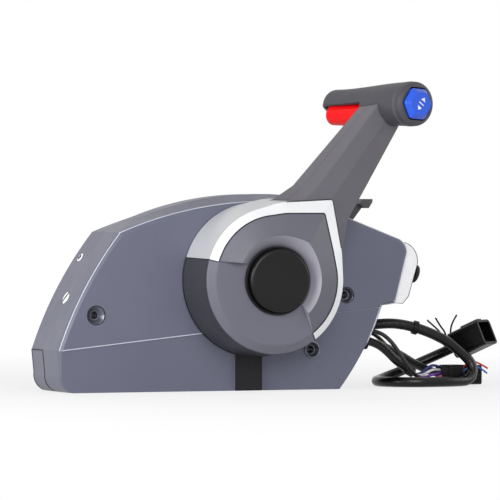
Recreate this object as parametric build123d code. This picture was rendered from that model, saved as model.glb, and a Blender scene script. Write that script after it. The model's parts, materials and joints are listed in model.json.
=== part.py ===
from build123d import *
import os
from math import asin, atan2, cos, degrees, pi, radians, sin, sqrt, tan

# Side-mount remote control for an outboard engine: one lever shifts gear and works the throttle.
# Millimetres. X runs aft, -X is the nose, -Y is inboard (the lever side), +Y is the face that is
# bolted to the boat, Z is up. The origin is on the base, straight below the lever's pivot axis,
# at the middle of the case's thickness.

# ---- Case ----
CASE_THICKNESS = 79.0
COVER_THICKNESS = 6.5
WALL = 3.0
PIVOT_HEIGHT = 95.5
CROWN_DROP = 6.0          # how far the covers' top edge lies under the crown
BEVEL_WIDTH = 21.0        # sloping band between a cover's top edge and the crown
EDGE_CHAMFER = 2.2
PARTING_GROOVE = 1.0
BACK_INSET = 1.5          # the back plate is this much smaller all round
LOWER_LEAN = 3.4          # the side face leans inwards by this much below its crease
CREASE_STEP = 0.7         # and steps back by this much at the crease

BASE_REAR = (81.0, 0.0)
BASE_NOSE = (-164.0, 0.0)
NOSE_TOE = (-173.0, 6.5)
NOSE_LOW = (-175.0, 16.0)
NOSE_KINK = (-177.0, 36.0)
NOSE_MIDDLE = (-153.8, 88.5)
TOP_FRONT = (-121.8, 136.2)
REAR_TOP = (134.0, 130.3)
REAR_SHOULDER = (141.0, 125.3)
REAR_CORNER = (143.4, 118.3)
REAR_LOW = (132.0, 74.0)
UNDERCUT = (119.8, 72.2)
SLOPE_MIDDLE = (106.3, 40.5)
# Points of the crown between TOP_FRONT and REAR_TOP, with the share of CROWN_DROP at each:
# the middle and end of a front arc, then of a rear arc that runs out straight to REAR_TOP.
CROWN = ((-58.0, 160.4, 0.8), (13.0, 168.6, 1.0), (52.0, 165.3, 1.0), (90.0, 150.8, 0.6))

# ---- Mounting holes: X, Z, counterbore radius ----
MOUNT_HOLES = ((-144.5, 66.0, 8.0), (85.8, 81.4, 6.8), (54.2, 34.6, 7.0))
MOUNT_BORE = 3.4
COUNTERBORE_DEPTH = 5.0
SLEEVE_WALL = 2.6

# ---- Case screws ----
CASE_SCREW_PLACES = ((-142.0, 6.8), (-112.0, 133.0), (0.0, 155.0), (134.5, 121.5), (64.0, 6.8))
BOSS_RADIUS = 5.5
SCREW_RADIUS = 2.0
SCREW_CLEARANCE = 0.25
SCREW_HEAD_RADIUS = 3.6
SCREW_HEAD_HEIGHT = 2.4
SCREW_GRIP = 5.0          # length of a case screw inside the inboard cover
LOW_SCREW_GRIP = 1.8      # and where the cover's face leans in

# ---- Handle ----
REST_TILT = 35.5
# The hub's outline at its back, at its shoulder and round its front face:
# depth, radius, how far the cheeks beside the tip swell beyond straight lines, reach of the tip.
HUB_BACK = (1.5, 66.0, 1.6, 89.0)
HUB_SHOULDER = (48.0, 62.6, 2.2, 86.0)
HUB_FRONT = (52.5, 55.6, 0.8, 71.5)
HUB_RADIUS = HUB_BACK[1]
HUB_DEPTH = HUB_FRONT[0]
HUB_WALL = 3.0
CHEEK_RISE = 0.35         # height of the cheeks' circle, as a share of the hub's radius
TIP_RADIUS = 2.0
TIP_OFFSET = 3.0
TRIM_WALL = 2.5
TRIM_END_ANGLE = 108.6
FAIRING_RISE = 14.0
FAIRING_RUN = 2.19        # millimetres inwards for each millimetre that the fairing rises
DISH_BACK_RADIUS = 30.5
DISH_SLOPE = 48.0
BUTTON_RADIUS = 27.0
BUTTON_DEPTH = 61.0
BUTTON_TRAVEL = 5.0
BUTTON_RING_WALL = 2.2
BUTTON_CAP = 4.0
SPRING_RADIUS = 9.0
SPRING_WIRE = 0.7
SPRING_PITCH = 3.2

ARM_BACK = 19.0           # depths are measured from the case's inboard face
ARM_FRONT = 47.0
ARM_PARTING = 31.0
ARM_WALL = 2.8
ARM_SHOULDER_DROP = 7.0   # the aft facet falls back by this much
GRIP_REACH = 187.0
GRIP_OFFSET = 3.0
GRIP_PLAN_ANGLE = 15.0
GRIP_FAR = 81.0
GRIP_NEAR = 40.0
GRIP_NEAR_RADIUS = 19.0
GRIP_FAR_RADIUS = 15.0

# Height up the arm, then X of: back left, left ridge, right ridge, right front, right back.
ARM_SECTIONS = (
    (46.0, -41.0, -30.0, 2.0, 44.0, 44.0), (64.0, -31.3, -20.0, 2.5, 36.0, 35.0),
    (82.0, -24.0, -15.5, 2.7, 27.5, 26.0), (165.0, -14.0, -10.5, 3.8, 20.2, 18.5),
    (186.0, -11.5, -9.3, 4.0, 18.3, 16.5),
)
FAIRING_BEND = (27.5, -2.1)
CASTING_BACK = 4.0
CASTING_BOSS_FRONT = 31.0
CASTING_BAR_BACK = 22.5
CASTING_REACH = 162.0
ARM_SCREW_BELOW_GRIP = 39.0    # upper screw below the grip's middle
ARM_SCREW_HEIGHTS = (98.0, GRIP_REACH - ARM_SCREW_BELOW_GRIP)
GRIP_WALL = 2.6
GRIP_LIP = -7.0
BAR_START = 22.0
BAR_END = 73.0
BAR_ROUND = 6.0
BAR_TOP = -4.0
BAR_DROP = 9.6
BAR_NECK = 7.2            # half the width of the bar's upper part, which rises into the grip
BAR_TRAVEL = 4.0
BAR_TONGUE_END = -2.0
ROD_X = 8.5
ROD_LOW = 40.0
ROCKER_RADIUS = 15.0
ROCKER_AXIS_Y = -36.0
ROCKER_PIN_REACH = 17.5
ROCKER_BASE = 1.0
ROCKER_RISE = 4.6
ROCKER_TAPER = 3.6

# ---- Wiring loom: every cord's route is a list of places chosen by hand ----
GROMMET_START = 97.0
GROMMET_END = 119.0
GROMMET_CENTRE = (1.5, 47.0)
GROMMET_SIZE = (25.0, 28.0)
LOOM_RADIUS = 4.5
LEAD_RADIUS = 3.6
WIRE_RADIUS = 1.2
# The main loom arches to the floor, folds back under itself and rises behind to the engine plug.
LOOM_ROUTE = (
    (119, 2, 53.5), (132, 1, 55), (148, -2, 55.5), (165, -5, 52), (181, -8, 46), (196, -9.5, 38.5),
    (207, -11, 29.5), (216, -13, 20.5), (216.3, -16.5, 11.2), (209.5, -20.5, 5), (198, -25, 4.6),
    (186, -28.5, 4.6), (173.8, -29.8, 4.6), (159.9, -30, 4.6), (147.1, -24.7, 4.6),
    (137.8, -14.5, 4.6), (133.6, -1.3, 4.6), (135.4, 12.4, 4.6), (142.9, 24.1, 5),
    (154.2, 31.6, 7.5), (168.5, 33.8, 12), (182.5, 34, 17.5), (196.3, 31.5, 23.5),
    (208, 25.8, 29.3), (215.5, 16.5, 34.5),
)
SWITCH_ROUTE = (
    (119, -4.5, 41), (129, -5.3, 38), (138, -6.8, 31), (146, -8.3, 22.5), (155, -9.5, 16),
)
TRIM_ROUTE = (
    (119, 7.5, 41), (132, 9, 38.5), (146, 11.5, 33.5), (160, 14, 27), (173, 15.5, 19.5),
    (187, 16, 13), (200, 15.5, 9.5), (212, 14.5, 8.5),
)
GAUGE_PLUG = (189.0, 208.5, -12.0, 5.5, 0.4, 18.5)      # low and high X, Y and Z
TRIM_PLUG = (212.0, 234.0, 5.0, 24.0, 0.4, 17.5)
ENGINE_PLUG_LENGTH = 32.0
ENGINE_PLUG_SIZE = (25.0, 23.0)
SOCKET_DEPTH = 22.0
PLUG_WALL = 2.2
PLUG_STEP = 1.6
PLUG_LATCH_WIDTH = 7.0
GAUGE_WIRE_COUNT = 4
GAUGE_WIRE_SPACING = 2.3
GAUGE_WIRE_RISE = 1.1
GAUGE_WIRE_SPREAD = 1.9
GAUGE_WIRE_RUN = 8.0
GAUGE_WIRE_LAST_RUN = (11.0, 3.3, 0.9)
BOOT_LENGTH = 8.0

# ---- Shaft and gears ----
SHAFT_RADIUS = 8.0
SHAFT_FIT = 0.05
BUSH_WALL = 3.0
GEAR_MODULE = 2.0
PINION_TEETH = 14
SHIFT_TEETH = 42
THROTTLE_TEETH = 28
GEAR_WIDTH = 8.0
GEAR_BACKLASH = 0.5
PIN_RADIUS = 4.0

STRIP_X = -5.0
STRIP_HALF = 12.0
STRIP_THICKNESS = 1.6
STRIP_TOP = 50.0
CREASE_NOSE = 36.0        # heights of the crease line on the side face, nose to rear
CREASE_FRONT = 53.0
CREASE_MIDDLE = 58.0
CREASE_REAR = 74.0
COVER_HOLE_RADIUS = 17.0
FIT_GAP = 0.2

# ---- Rear end panel and its switches ----
PANEL_WALL = 2.5
PANEL_INSIDE = (120.0, 100.0)
PANEL_SEAM_TOP = (134.0, 127.4)
PANEL_HEAD = (144.6, 126.2)
PANEL_ROUND = (153.4, 118.8)
PANEL_BROW = (155.3, 107.0)
PANEL_CHIN = (147.0, 79.5)
PANEL_HEEL = (141.5, 73.6)
PANEL_FOOT = (128.0, 73.9)
SWITCH_HEIGHT = 101.0
IGNITION_Y = 15.0
STOP_Y = -15.0
SWITCH_BODY_RADIUS = 11.0
IGNITION_THREAD_RADIUS = 9.5
STOP_THREAD_RADIUS = 7.0
ROTOR_RADIUS = 7.0
STOP_KNOB_RADIUS = 8.0
STOP_TRAVEL = 3.0
STOP_CAP = 3.5
IGNITION_NUT_HEIGHT = 3.5
STOP_NUT_HEIGHT = 2.5
STOP_STEM_RADIUS = 3.0

# ---- Removable corner at the foot of the nose ----
EXIT_INNER_Y = 4.5
EXIT_REACH = -152.0
EXIT_GAP = 0.5

# ---- Fast-idle lever ----
PADDLE_PIVOT = (90.0, 132.0)
PADDLE_PIN_RADIUS = 3.0
PADDLE_BOSS_RADIUS = 6.0
PADDLE_BOSS_HALF = 6.5
PADDLE_STEM_WIDTH = 7.0
PADDLE_STEM_END = (112.5, 159.0)
PADDLE_HALF = 15.0
PADDLE_SLOT = (82.0, 111.0)
PADDLE_SLOT_HALF = 8.0
PADDLE_LUG = 4.0

# ---- Adjusting screws on the nose: height, Y, head radius ----
FRICTION_ADJUSTER = (80.4, -1.0, 5.7)
DETENT_ADJUSTER = (114.5, 19.0, 4.1)
ADJUSTER_HEAD = 3.0
ADJUSTER_SINK = -0.4      # the heads stand proud by this much
ADJUSTER_SHANK = 2.6
ADJUSTER_LENGTH = 10.0
ADJUSTER_INSERT_WALL = 1.8
ADJUSTER_BOSS_WALL = 2.5

# ---- Metal frame that carries the shaft ----
FRAME_PLACE = -31.0       # Y of the frame's inboard side
FRAME_THICKNESS = 5.0
LEG_PLACES = ((-100.0, 72.0), (-100.0, 122.0), (64.0, 122.0), (66.0, 56.0))
LEG_RADIUS = 5.0
LEG_MARGIN = 4.0
FRAME_BOSS_LENGTH = 16.0
SLEEVE_RADIUS = MOUNT_BORE + SLEEVE_WALL
SHIFT_ARM_LENGTH = 36.0
THROTTLE_ARM_LENGTH = 34.0
GEAR_PLACE = -8.0         # Y of the gears' inboard side
SECTOR_SPREAD = 62.0
FRAME_WINDOW_X = -80.0
SHAFT_REACH = 36.0
SHAFT_BORE = 3.2

FACE_Y = -CASE_THICKNESS / 2
BACK_Y = CASE_THICKNESS / 2
RING_HALF = CASE_THICKNESS / 2 - COVER_THICKNESS
FAR_AWAY = 400.0


def slab(sketch, y_low, y_high):
    """A sketch drawn in X and Z, as thick as from y_low to y_high."""
    return extrude(Plane.XZ.offset(-y_high) * sketch, y_high - y_low)


def rod(x, z, radius, y_low, y_high):
    """A round bar along Y."""
    return slab(Pos(x, z) * Circle(radius), y_low, y_high)


def block(x_low, x_high, y_low, y_high, z_low, z_high):
    centre = Pos((x_low + x_high) / 2, (y_low + y_high) / 2, (z_low + z_high) / 2)
    return centre * Box(x_high - x_low, y_high - y_low, z_high - z_low)


def tube(x, z, inner, outer, y_low, y_high):
    return rod(x, z, outer, y_low, y_high) - rod(x, z, inner, y_low - 1, y_high + 1)


def bevelled_slab(drop, inset, y_flat, y_bevel, bevel):
    """The case's side outline as a plate, its rim bevelled at y_bevel."""
    step = bevel if y_bevel > y_flat else -bevel
    outline = offset(case_outline(drop), -inset) if inset else case_outline(drop)
    narrow = offset(case_outline(drop), -inset - bevel)
    wide_end = Plane.XZ.offset(step - y_bevel) * outline
    narrow_end = Plane.XZ.offset(-y_bevel) * narrow
    low, high = sorted((y_flat, y_bevel - step))
    return slab(outline, low, high) + loft([wide_end, narrow_end], ruled=True)


def depth(d):
    """Y of a place d mm inboard of the case's side face."""
    return FACE_Y - d


def crown_edges(drop, inset=0.0):
    """The top of the outline: two arcs and a straight run, lowered by drop and by inset."""
    places = [(x, z - drop * share - inset) for x, z, share in CROWN]
    start = (TOP_FRONT[0], TOP_FRONT[1] - inset)
    end = (REAR_TOP[0], REAR_TOP[1] - inset)
    return [
        ThreePointArc(start, places[0], places[1]),
        ThreePointArc(places[1], places[2], places[3]),
        Line(places[3], end),
    ]


def case_outline(drop):
    """The case's side outline, its crown lowered by drop."""
    edges = Curve() + [
        Line(BASE_REAR, BASE_NOSE),
        ThreePointArc(BASE_NOSE, NOSE_TOE, NOSE_LOW),
        Line(NOSE_LOW, NOSE_KINK),
        ThreePointArc(NOSE_KINK, NOSE_MIDDLE, TOP_FRONT),
        *crown_edges(drop),
        ThreePointArc(REAR_TOP, REAR_SHOULDER, REAR_CORNER),
        Line(REAR_CORNER, REAR_LOW),
        Line(REAR_LOW, UNDERCUT),
        ThreePointArc(UNDERCUT, SLOPE_MIDDLE, BASE_REAR),
    ]
    return make_face(edges)


def above_crown(drop, inset):
    """The region over the crown line, in X and Z."""
    crown = crown_edges(drop, inset)
    start, end = crown[0] @ 0, crown[-1] @ 1
    roof = Polyline(end, (end.X, FAR_AWAY), (start.X, FAR_AWAY), start)
    return make_face(Curve() + [*crown, roof])


def case_form(inset):
    """The middle of the case, bevelled along both top edges, shrunk by inset."""
    outline = case_outline(0)
    if inset:
        outline = offset(outline, -inset)
    form = slab(outline, -RING_HALF, RING_HALF)
    for side in (-1, 1):
        edge = Plane.XZ.offset(-side * RING_HALF) * above_crown(CROWN_DROP, inset)
        crown = Plane.XZ.offset(-side * (RING_HALF - BEVEL_WIDTH)) * above_crown(0, inset)
        form -= loft([edge, crown], ruled=True)
    return form


def side_lean(x_low, x_high, crease_low, crease_high):
    """The wedge that is taken off the side face under a crease line from x_low to x_high."""
    foot = [(x_low, -1.0), (x_high, -1.0), (x_high, -0.9), (x_low, -0.9)]
    crease = [(x_low, -1.0), (x_high, -1.0), (x_high, crease_high), (x_low, crease_low)]
    outer = make_face(Polyline(*crease, close=True))
    inner = make_face(Polyline(*foot, close=True))
    start = -FACE_Y - CREASE_STEP
    wedge = loft([Plane.XZ.offset(start) * outer, Plane.XZ.offset(start - LOWER_LEAN) * inner],
                 ruled=True)
    return wedge + slab(outer, FACE_Y, FACE_Y + CREASE_STEP)


def screw_grip(z):
    return SCREW_GRIP if z > CREASE_NOSE else LOW_SCREW_GRIP


def make_inboard_cover():
    """The side moulding behind the hub: a tray with a rim, screw bosses and three counterbores."""
    outline = case_outline(CROWN_DROP)
    middle = -RING_HALF - PARTING_GROOVE - 1
    cover = bevelled_slab(CROWN_DROP, 0, middle, FACE_Y, EDGE_CHAMFER)
    cover += bevelled_slab(CROWN_DROP, 0, middle, -RING_HALF, PARTING_GROOVE)
    cover -= side_lean(NOSE_KINK[0] - 1, -STRIP_HALF + STRIP_X, CREASE_NOSE, CREASE_FRONT)
    cover -= side_lean(STRIP_X + STRIP_HALF, REAR_CORNER[0], CREASE_MIDDLE, CREASE_REAR)
    floor = FACE_Y + LOWER_LEAN + CREASE_STEP + 0.5
    pocket = slab(offset(outline, -WALL - EDGE_CHAMFER), floor, -RING_HALF + 1)
    for x, z in CASE_SCREW_PLACES:
        pocket -= rod(x, z, BOSS_RADIUS, FACE_Y, BACK_Y)
    for x, z, rim in MOUNT_HOLES:
        pocket -= rod(x, z, rim + WALL, FACE_Y, BACK_Y)
    cover -= pocket
    for x, z in CASE_SCREW_PLACES:
        cover -= rod(x, z, SCREW_RADIUS, -RING_HALF - screw_grip(z), -RING_HALF + 1)
    for x, z, rim in MOUNT_HOLES:
        cover -= rod(x, z, rim, FACE_Y - 1, FACE_Y + COUNTERBORE_DEPTH)
        cover -= rod(x, z, MOUNT_BORE, FACE_Y - 1, BACK_Y)
    cover -= rod(0, PIVOT_HEIGHT, COVER_HOLE_RADIUS, FACE_Y - 1, BACK_Y)
    cover -= block(STRIP_X - STRIP_HALF, STRIP_X + STRIP_HALF, FACE_Y - 1,
                   FACE_Y + STRIP_THICKNESS, -1, STRIP_TOP)
    return cover


def make_case_ring():
    """The middle of the case: nose, crown, rear and base in one wall, with full-depth bosses."""
    hollow = case_form(WALL)
    ring = case_form(0) - hollow
    for x, z in CASE_SCREW_PLACES:
        ring += rod(x, z, BOSS_RADIUS, -RING_HALF, RING_HALF) & case_form(0)
    for x, z in CASE_SCREW_PLACES:
        ring -= rod(x, z, SCREW_RADIUS + SCREW_CLEARANCE, -RING_HALF - 1, RING_HALF + 1)
    ring -= block(PADDLE_SLOT[0], PADDLE_SLOT[1], -PADDLE_SLOT_HALF, PADDLE_SLOT_HALF,
                  PIVOT_HEIGHT, FAR_AWAY)
    ring -= panel_window()
    ring -= grommet_block(GROMMET_START - 5, GROMMET_END + 5)
    ring -= cable_exit_region(0)
    for height, y, radius in (FRICTION_ADJUSTER, DETENT_ADJUSTER):
        place = nose_place(height, y)
        ring += (place * adjuster_boss(radius)) & hollow
        ring -= place * adjuster_cavity(radius)
    for x, z, _ in MOUNT_HOLES:
        ring -= rod(x, z, SLEEVE_RADIUS + FIT_GAP, -RING_HALF, RING_HALF)
    for side in (-1, 1):
        ring += paddle_lug(side)
    return ring - paddle_pin()


def make_back_plate():
    """The outboard moulding, flat where it meets the boat's side."""
    plate = bevelled_slab(CROWN_DROP, BACK_INSET, RING_HALF, BACK_Y, EDGE_CHAMFER)
    inner = offset(case_outline(CROWN_DROP), -BACK_INSET - WALL - EDGE_CHAMFER)
    pocket = slab(inner, RING_HALF - 1, BACK_Y - WALL)
    keep_clear = [(x, z, BOSS_RADIUS) for x, z in CASE_SCREW_PLACES]
    keep_clear += [(x, z, SLEEVE_RADIUS + WALL) for x, z, _ in MOUNT_HOLES]
    keep_clear += [(x, z, LEG_RADIUS) for x, z in LEG_PLACES]
    for x, z, radius in keep_clear:
        pocket -= rod(x, z, radius, RING_HALF - 2, BACK_Y)
    plate -= pocket
    for x, z in (*CASE_SCREW_PLACES, *LEG_PLACES):
        plate -= rod(x, z, SCREW_RADIUS + SCREW_CLEARANCE, RING_HALF - 1, BACK_Y + 1)
        plate -= rod(x, z, SCREW_HEAD_RADIUS + SCREW_CLEARANCE, BACK_Y - SCREW_HEAD_HEIGHT, BACK_Y + 1)
    for x, z, _ in MOUNT_HOLES:
        plate -= rod(x, z, MOUNT_BORE, RING_HALF - 1, BACK_Y + 1)
    return plate


def cable_exit_region(gap):
    """The removable corner at the foot of the nose, on the outboard side."""
    return block(NOSE_KINK[0] - 5, EXIT_REACH - gap, EXIT_INNER_Y + gap, RING_HALF + 1,
                 -1, NOSE_KINK[1] - gap)


def make_cable_exit_cover():
    """The corner of the case's wall that lifts off where the control cables enter."""
    return (case_form(0) - case_form(WALL)) & cable_exit_region(EXIT_GAP)


def make_trim_wire_cover():
    """The black strip that runs from under the hub to the base."""
    return block(STRIP_X - STRIP_HALF + FIT_GAP, STRIP_X + STRIP_HALF - FIT_GAP,
                 FACE_Y, FACE_Y + STRIP_THICKNESS, 0.6, STRIP_TOP - FIT_GAP)


def panel_outline():
    edges = Curve() + [
        Polyline(PANEL_HEAD, PANEL_SEAM_TOP, PANEL_INSIDE, PANEL_FOOT, PANEL_HEEL, PANEL_CHIN,
                 PANEL_BROW),
        ThreePointArc(PANEL_BROW, PANEL_ROUND, PANEL_HEAD),
    ]
    return make_face(edges)


def panel_frame():
    """Origin on the panel's outer face at switch height, Z along its outward normal."""
    run = Vector(PANEL_BROW[0] - PANEL_CHIN[0], 0, PANEL_BROW[1] - PANEL_CHIN[1]).normalized()
    normal = Vector(run.Z, 0, -run.X)
    share = (SWITCH_HEIGHT - PANEL_CHIN[1]) / (PANEL_BROW[1] - PANEL_CHIN[1])
    x = PANEL_CHIN[0] + share * (PANEL_BROW[0] - PANEL_CHIN[0])
    return Plane(origin=(x, 0, SWITCH_HEIGHT), x_dir=(0, 1, 0), z_dir=normal)


def on_panel(y, shape):
    """A shape built along Z from the panel's face, moved to the switch at y."""
    return panel_frame().location * Pos(y, 0, 0) * shape


def panel_window():
    window = Cylinder(SWITCH_BODY_RADIUS + 1.0, 90)
    return on_panel(IGNITION_Y, window) + on_panel(STOP_Y, window)


def make_switch_panel():
    """The silver end panel, a shallow shell with holes for the two switches."""
    half = RING_HALF - FIT_GAP
    panel = slab(panel_outline(), -half, half)
    panel -= slab(offset(panel_outline(), -PANEL_WALL), -half + PANEL_WALL, half - PANEL_WALL)
    panel -= slab(case_outline(0), -RING_HALF, RING_HALF)
    for y, radius in ((IGNITION_Y, IGNITION_THREAD_RADIUS), (STOP_Y, STOP_THREAD_RADIUS)):
        panel -= on_panel(y, Cylinder(radius, 40))
    return panel


def make_ignition_barrel():
    """The key switch: threaded neck, body and terminals behind the panel."""
    neck = Pos(0, 0, -6) * Cylinder(IGNITION_THREAD_RADIUS - 0.05, 20)
    body = Pos(0, 0, -PANEL_WALL - 14) * Cylinder(SWITCH_BODY_RADIUS, 24)
    bore = Pos(0, 0, 0) * Cylinder(ROTOR_RADIUS + 0.3, 9)
    terminals = Part() + [
        Pos(7 * cos(a), 7 * sin(a), -PANEL_WALL - 29) * Box(1, 4, 7)
        for a in (0.0, 2 * pi / 3, 4 * pi / 3)
    ]
    return on_panel(IGNITION_Y, neck + body + terminals - Pos(0, 0, 3) * bore)


def make_ignition_rotor():
    """The plug that the key turns, with its key slot."""
    plug = Pos(0, 0, 3.5) * Cylinder(ROTOR_RADIUS, 8)
    slot = Pos(0, 0, 7) * Box(1.6, 9, 8)
    return on_panel(IGNITION_Y, plug - slot)


def switch_nut(thread_radius, height):
    """A round bezel nut, chamfered at its outer rim, that clamps a switch to the panel."""
    nut = Pos(0, 0, height / 2) * Cylinder(thread_radius + 4.5, height)
    nut = chamfer(nut.edges().sort_by(Axis.Z)[-1:], 1.0)
    return nut - Cylinder(thread_radius, 4 * height)


def make_switch_nuts():
    """The two bezel nuts."""
    ignition = on_panel(IGNITION_Y, switch_nut(IGNITION_THREAD_RADIUS, IGNITION_NUT_HEIGHT))
    stop = on_panel(STOP_Y, switch_nut(STOP_THREAD_RADIUS, STOP_NUT_HEIGHT))
    return Compound(children=[ignition, stop])


def make_stop_switch_body():
    neck_length = STOP_NUT_HEIGHT + 14
    neck = Pos(0, 0, STOP_NUT_HEIGHT - neck_length / 2) * Cylinder(STOP_THREAD_RADIUS - 0.05, neck_length)
    body = Pos(0, 0, -PANEL_WALL - 12) * Cylinder(SWITCH_BODY_RADIUS - 1.5, 20)
    bore = Pos(0, 0, -2) * Cylinder(STOP_STEM_RADIUS + 0.4, 16)
    return on_panel(STOP_Y, neck + body - bore)


def make_stop_switch_knob():
    """A black mushroom knob on a stem; pressed, it moves into the panel."""
    low = STOP_NUT_HEIGHT + STOP_TRAVEL + FIT_GAP
    cap = Pos(0, 0, low + STOP_CAP / 2) * Cylinder(STOP_KNOB_RADIUS, STOP_CAP)
    cap = fillet(cap.edges().sort_by(Axis.Z)[-1:], 1.6)
    stem = Pos(0, 0, low - 3.5) * Cylinder(STOP_STEM_RADIUS, 9)
    return on_panel(STOP_Y, cap + stem)


def nose_place(height, y):
    """Origin on the nose at a height, Z along the outward normal."""
    arc = ThreePointArc(NOSE_KINK, NOSE_MIDDLE, TOP_FRONT)
    centre, radius = arc.arc_center, arc.radius
    rise = height - centre.Y
    run = -sqrt(radius ** 2 - rise ** 2)
    normal = Vector(run, 0, rise).normalized()
    return Plane(origin=(centre.X + run, y, height), x_dir=(0, 1, 0), z_dir=normal).location


def adjuster_boss(radius):
    outer = radius + ADJUSTER_BOSS_WALL
    return Pos(0, 0, -ADJUSTER_LENGTH / 2) * Cylinder(outer, ADJUSTER_LENGTH)


def adjuster_insert_radius():
    return ADJUSTER_SHANK + ADJUSTER_INSERT_WALL


def adjuster_cavity(radius):
    """Head recess, shank hole and the pocket of the threaded insert."""
    sink = ADJUSTER_HEAD + ADJUSTER_SINK + FIT_GAP
    recess = Pos(0, 0, 5 - sink / 2) * Cylinder(radius + 0.4, sink + 10)
    pocket = Pos(0, 0, -sink - ADJUSTER_LENGTH / 2 - 2) * Cylinder(adjuster_insert_radius(),
                                                                  ADJUSTER_LENGTH)
    shank = Pos(0, 0, -sink) * Cylinder(ADJUSTER_SHANK + 0.3, 8)
    return recess + shank + pocket


def make_adjuster_inserts():
    """The two brass inserts that the adjusting screws turn in."""
    sink = ADJUSTER_HEAD + ADJUSTER_SINK + FIT_GAP
    length = ADJUSTER_LENGTH - sink - 2
    insert = Cylinder(adjuster_insert_radius(), length) - Cylinder(ADJUSTER_SHANK + SHAFT_FIT, 99)
    seated = Pos(0, 0, -sink - 2 - length / 2) * insert
    return Compound(children=[
        nose_place(height, y) * seated for height, y, _ in (FRICTION_ADJUSTER, DETENT_ADJUSTER)
    ])


def adjuster_screw(radius, drive):
    """A round-headed screw with its driver recess, head just under the surface."""
    top = -ADJUSTER_SINK
    head = Pos(0, 0, top - ADJUSTER_HEAD / 2) * Cylinder(radius, ADJUSTER_HEAD)
    head = fillet(head.edges().sort_by(Axis.Z)[-1:], 0.8)
    shank = Pos(0, 0, top - ADJUSTER_HEAD - ADJUSTER_LENGTH / 2) * Cylinder(ADJUSTER_SHANK,
                                                                           ADJUSTER_LENGTH)
    return head + shank - Pos(0, 0, top) * drive


def make_friction_screw():
    slot = Rot(0, 0, 55) * Box(14, 1.8, 3.2)
    height, y, radius = FRICTION_ADJUSTER
    return nose_place(height, y) * adjuster_screw(radius, slot)


def make_detent_screw():
    cross = Box(5.0, 1.2, 3.0) + Box(1.2, 5.0, 3.0)
    height, y, radius = DETENT_ADJUSTER
    return nose_place(height, y) * adjuster_screw(radius, Rot(0, 0, 20) * cross)


def paddle_pin():
    x, z = PADDLE_PIVOT
    reach = PADDLE_SLOT_HALF + PADDLE_LUG
    return rod(x, z, PADDLE_PIN_RADIUS, -reach, reach)


def paddle_lug(side):
    """One of the two ears under the crown that hold the fast-idle lever's pin."""
    x, z = PADDLE_PIVOT
    near, far = PADDLE_SLOT_HALF, PADDLE_SLOT_HALF + PADDLE_LUG
    low, high = (near, far) if side > 0 else (-far, -near)
    ear = rod(x, z, PADDLE_BOSS_RADIUS, low, high)
    ear += block(x - PADDLE_BOSS_RADIUS, x + PADDLE_BOSS_RADIUS, low, high, z, PADDLE_PIVOT[1] + 30)
    return ear & case_form(0)


def make_fast_idle_lever():
    """A wide thumb paddle on a stem that goes through a slot in the crown."""
    x, z = PADDLE_PIVOT
    boss = rod(x, z, PADDLE_BOSS_RADIUS, -PADDLE_BOSS_HALF, PADDLE_BOSS_HALF)
    end_x, end_z = PADDLE_STEM_END
    stem_sketch = make_hull((Pos(x, z) * Circle(PADDLE_STEM_WIDTH / 2)).edges()
                            + (Pos(end_x, end_z) * Circle(PADDLE_STEM_WIDTH / 2.6)).edges())
    stem = slab(stem_sketch, -PADDLE_BOSS_HALF, PADDLE_BOSS_HALF)
    top = (end_x - 1.0, end_z + 5.3)
    paddle_sketch = make_face(Polyline(
        top, (top[0] + 9.6, top[1]), (top[0] + 8.9, top[1] - 3.0), (top[0] + 5.6, top[1] - 8.0),
        (top[0] + 1.5, top[1] - 7.8), (top[0] - 3.0, top[1] - 4.0), close=True))
    paddle = slab(paddle_sketch, -PADDLE_HALF, PADDLE_HALF)
    paddle = fillet(paddle.edges().filter_by(Axis.Y), 0.9)
    hole = rod(x, z, PADDLE_PIN_RADIUS + SHAFT_FIT, -30, 30)
    return boss + stem + paddle - hole


def make_fast_idle_pin():
    return paddle_pin()


def make_mounting_sleeves():
    """The three spacer tubes that the mounting bolts pass through."""
    return Compound(children=[
        tube(x, z, MOUNT_BORE, SLEEVE_RADIUS, -RING_HALF, RING_HALF) for x, z, _ in MOUNT_HOLES
    ])


def case_screw(x, z, y_tip):
    head = rod(x, z, SCREW_HEAD_RADIUS, BACK_Y - SCREW_HEAD_HEIGHT, BACK_Y - 0.2)
    return head + rod(x, z, SCREW_RADIUS, y_tip, BACK_Y - SCREW_HEAD_HEIGHT)


def make_case_screws():
    """Five long screws, from the back plate through the ring into the inboard cover."""
    return Compound(children=[
        case_screw(x, z, -RING_HALF - screw_grip(z) + 0.4) for x, z in CASE_SCREW_PLACES
    ])


def make_frame_screws():
    """Four screws that hold the frame's legs to the back plate."""
    return Compound(children=[case_screw(x, z, RING_HALF - 14) for x, z in LEG_PLACES])


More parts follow.
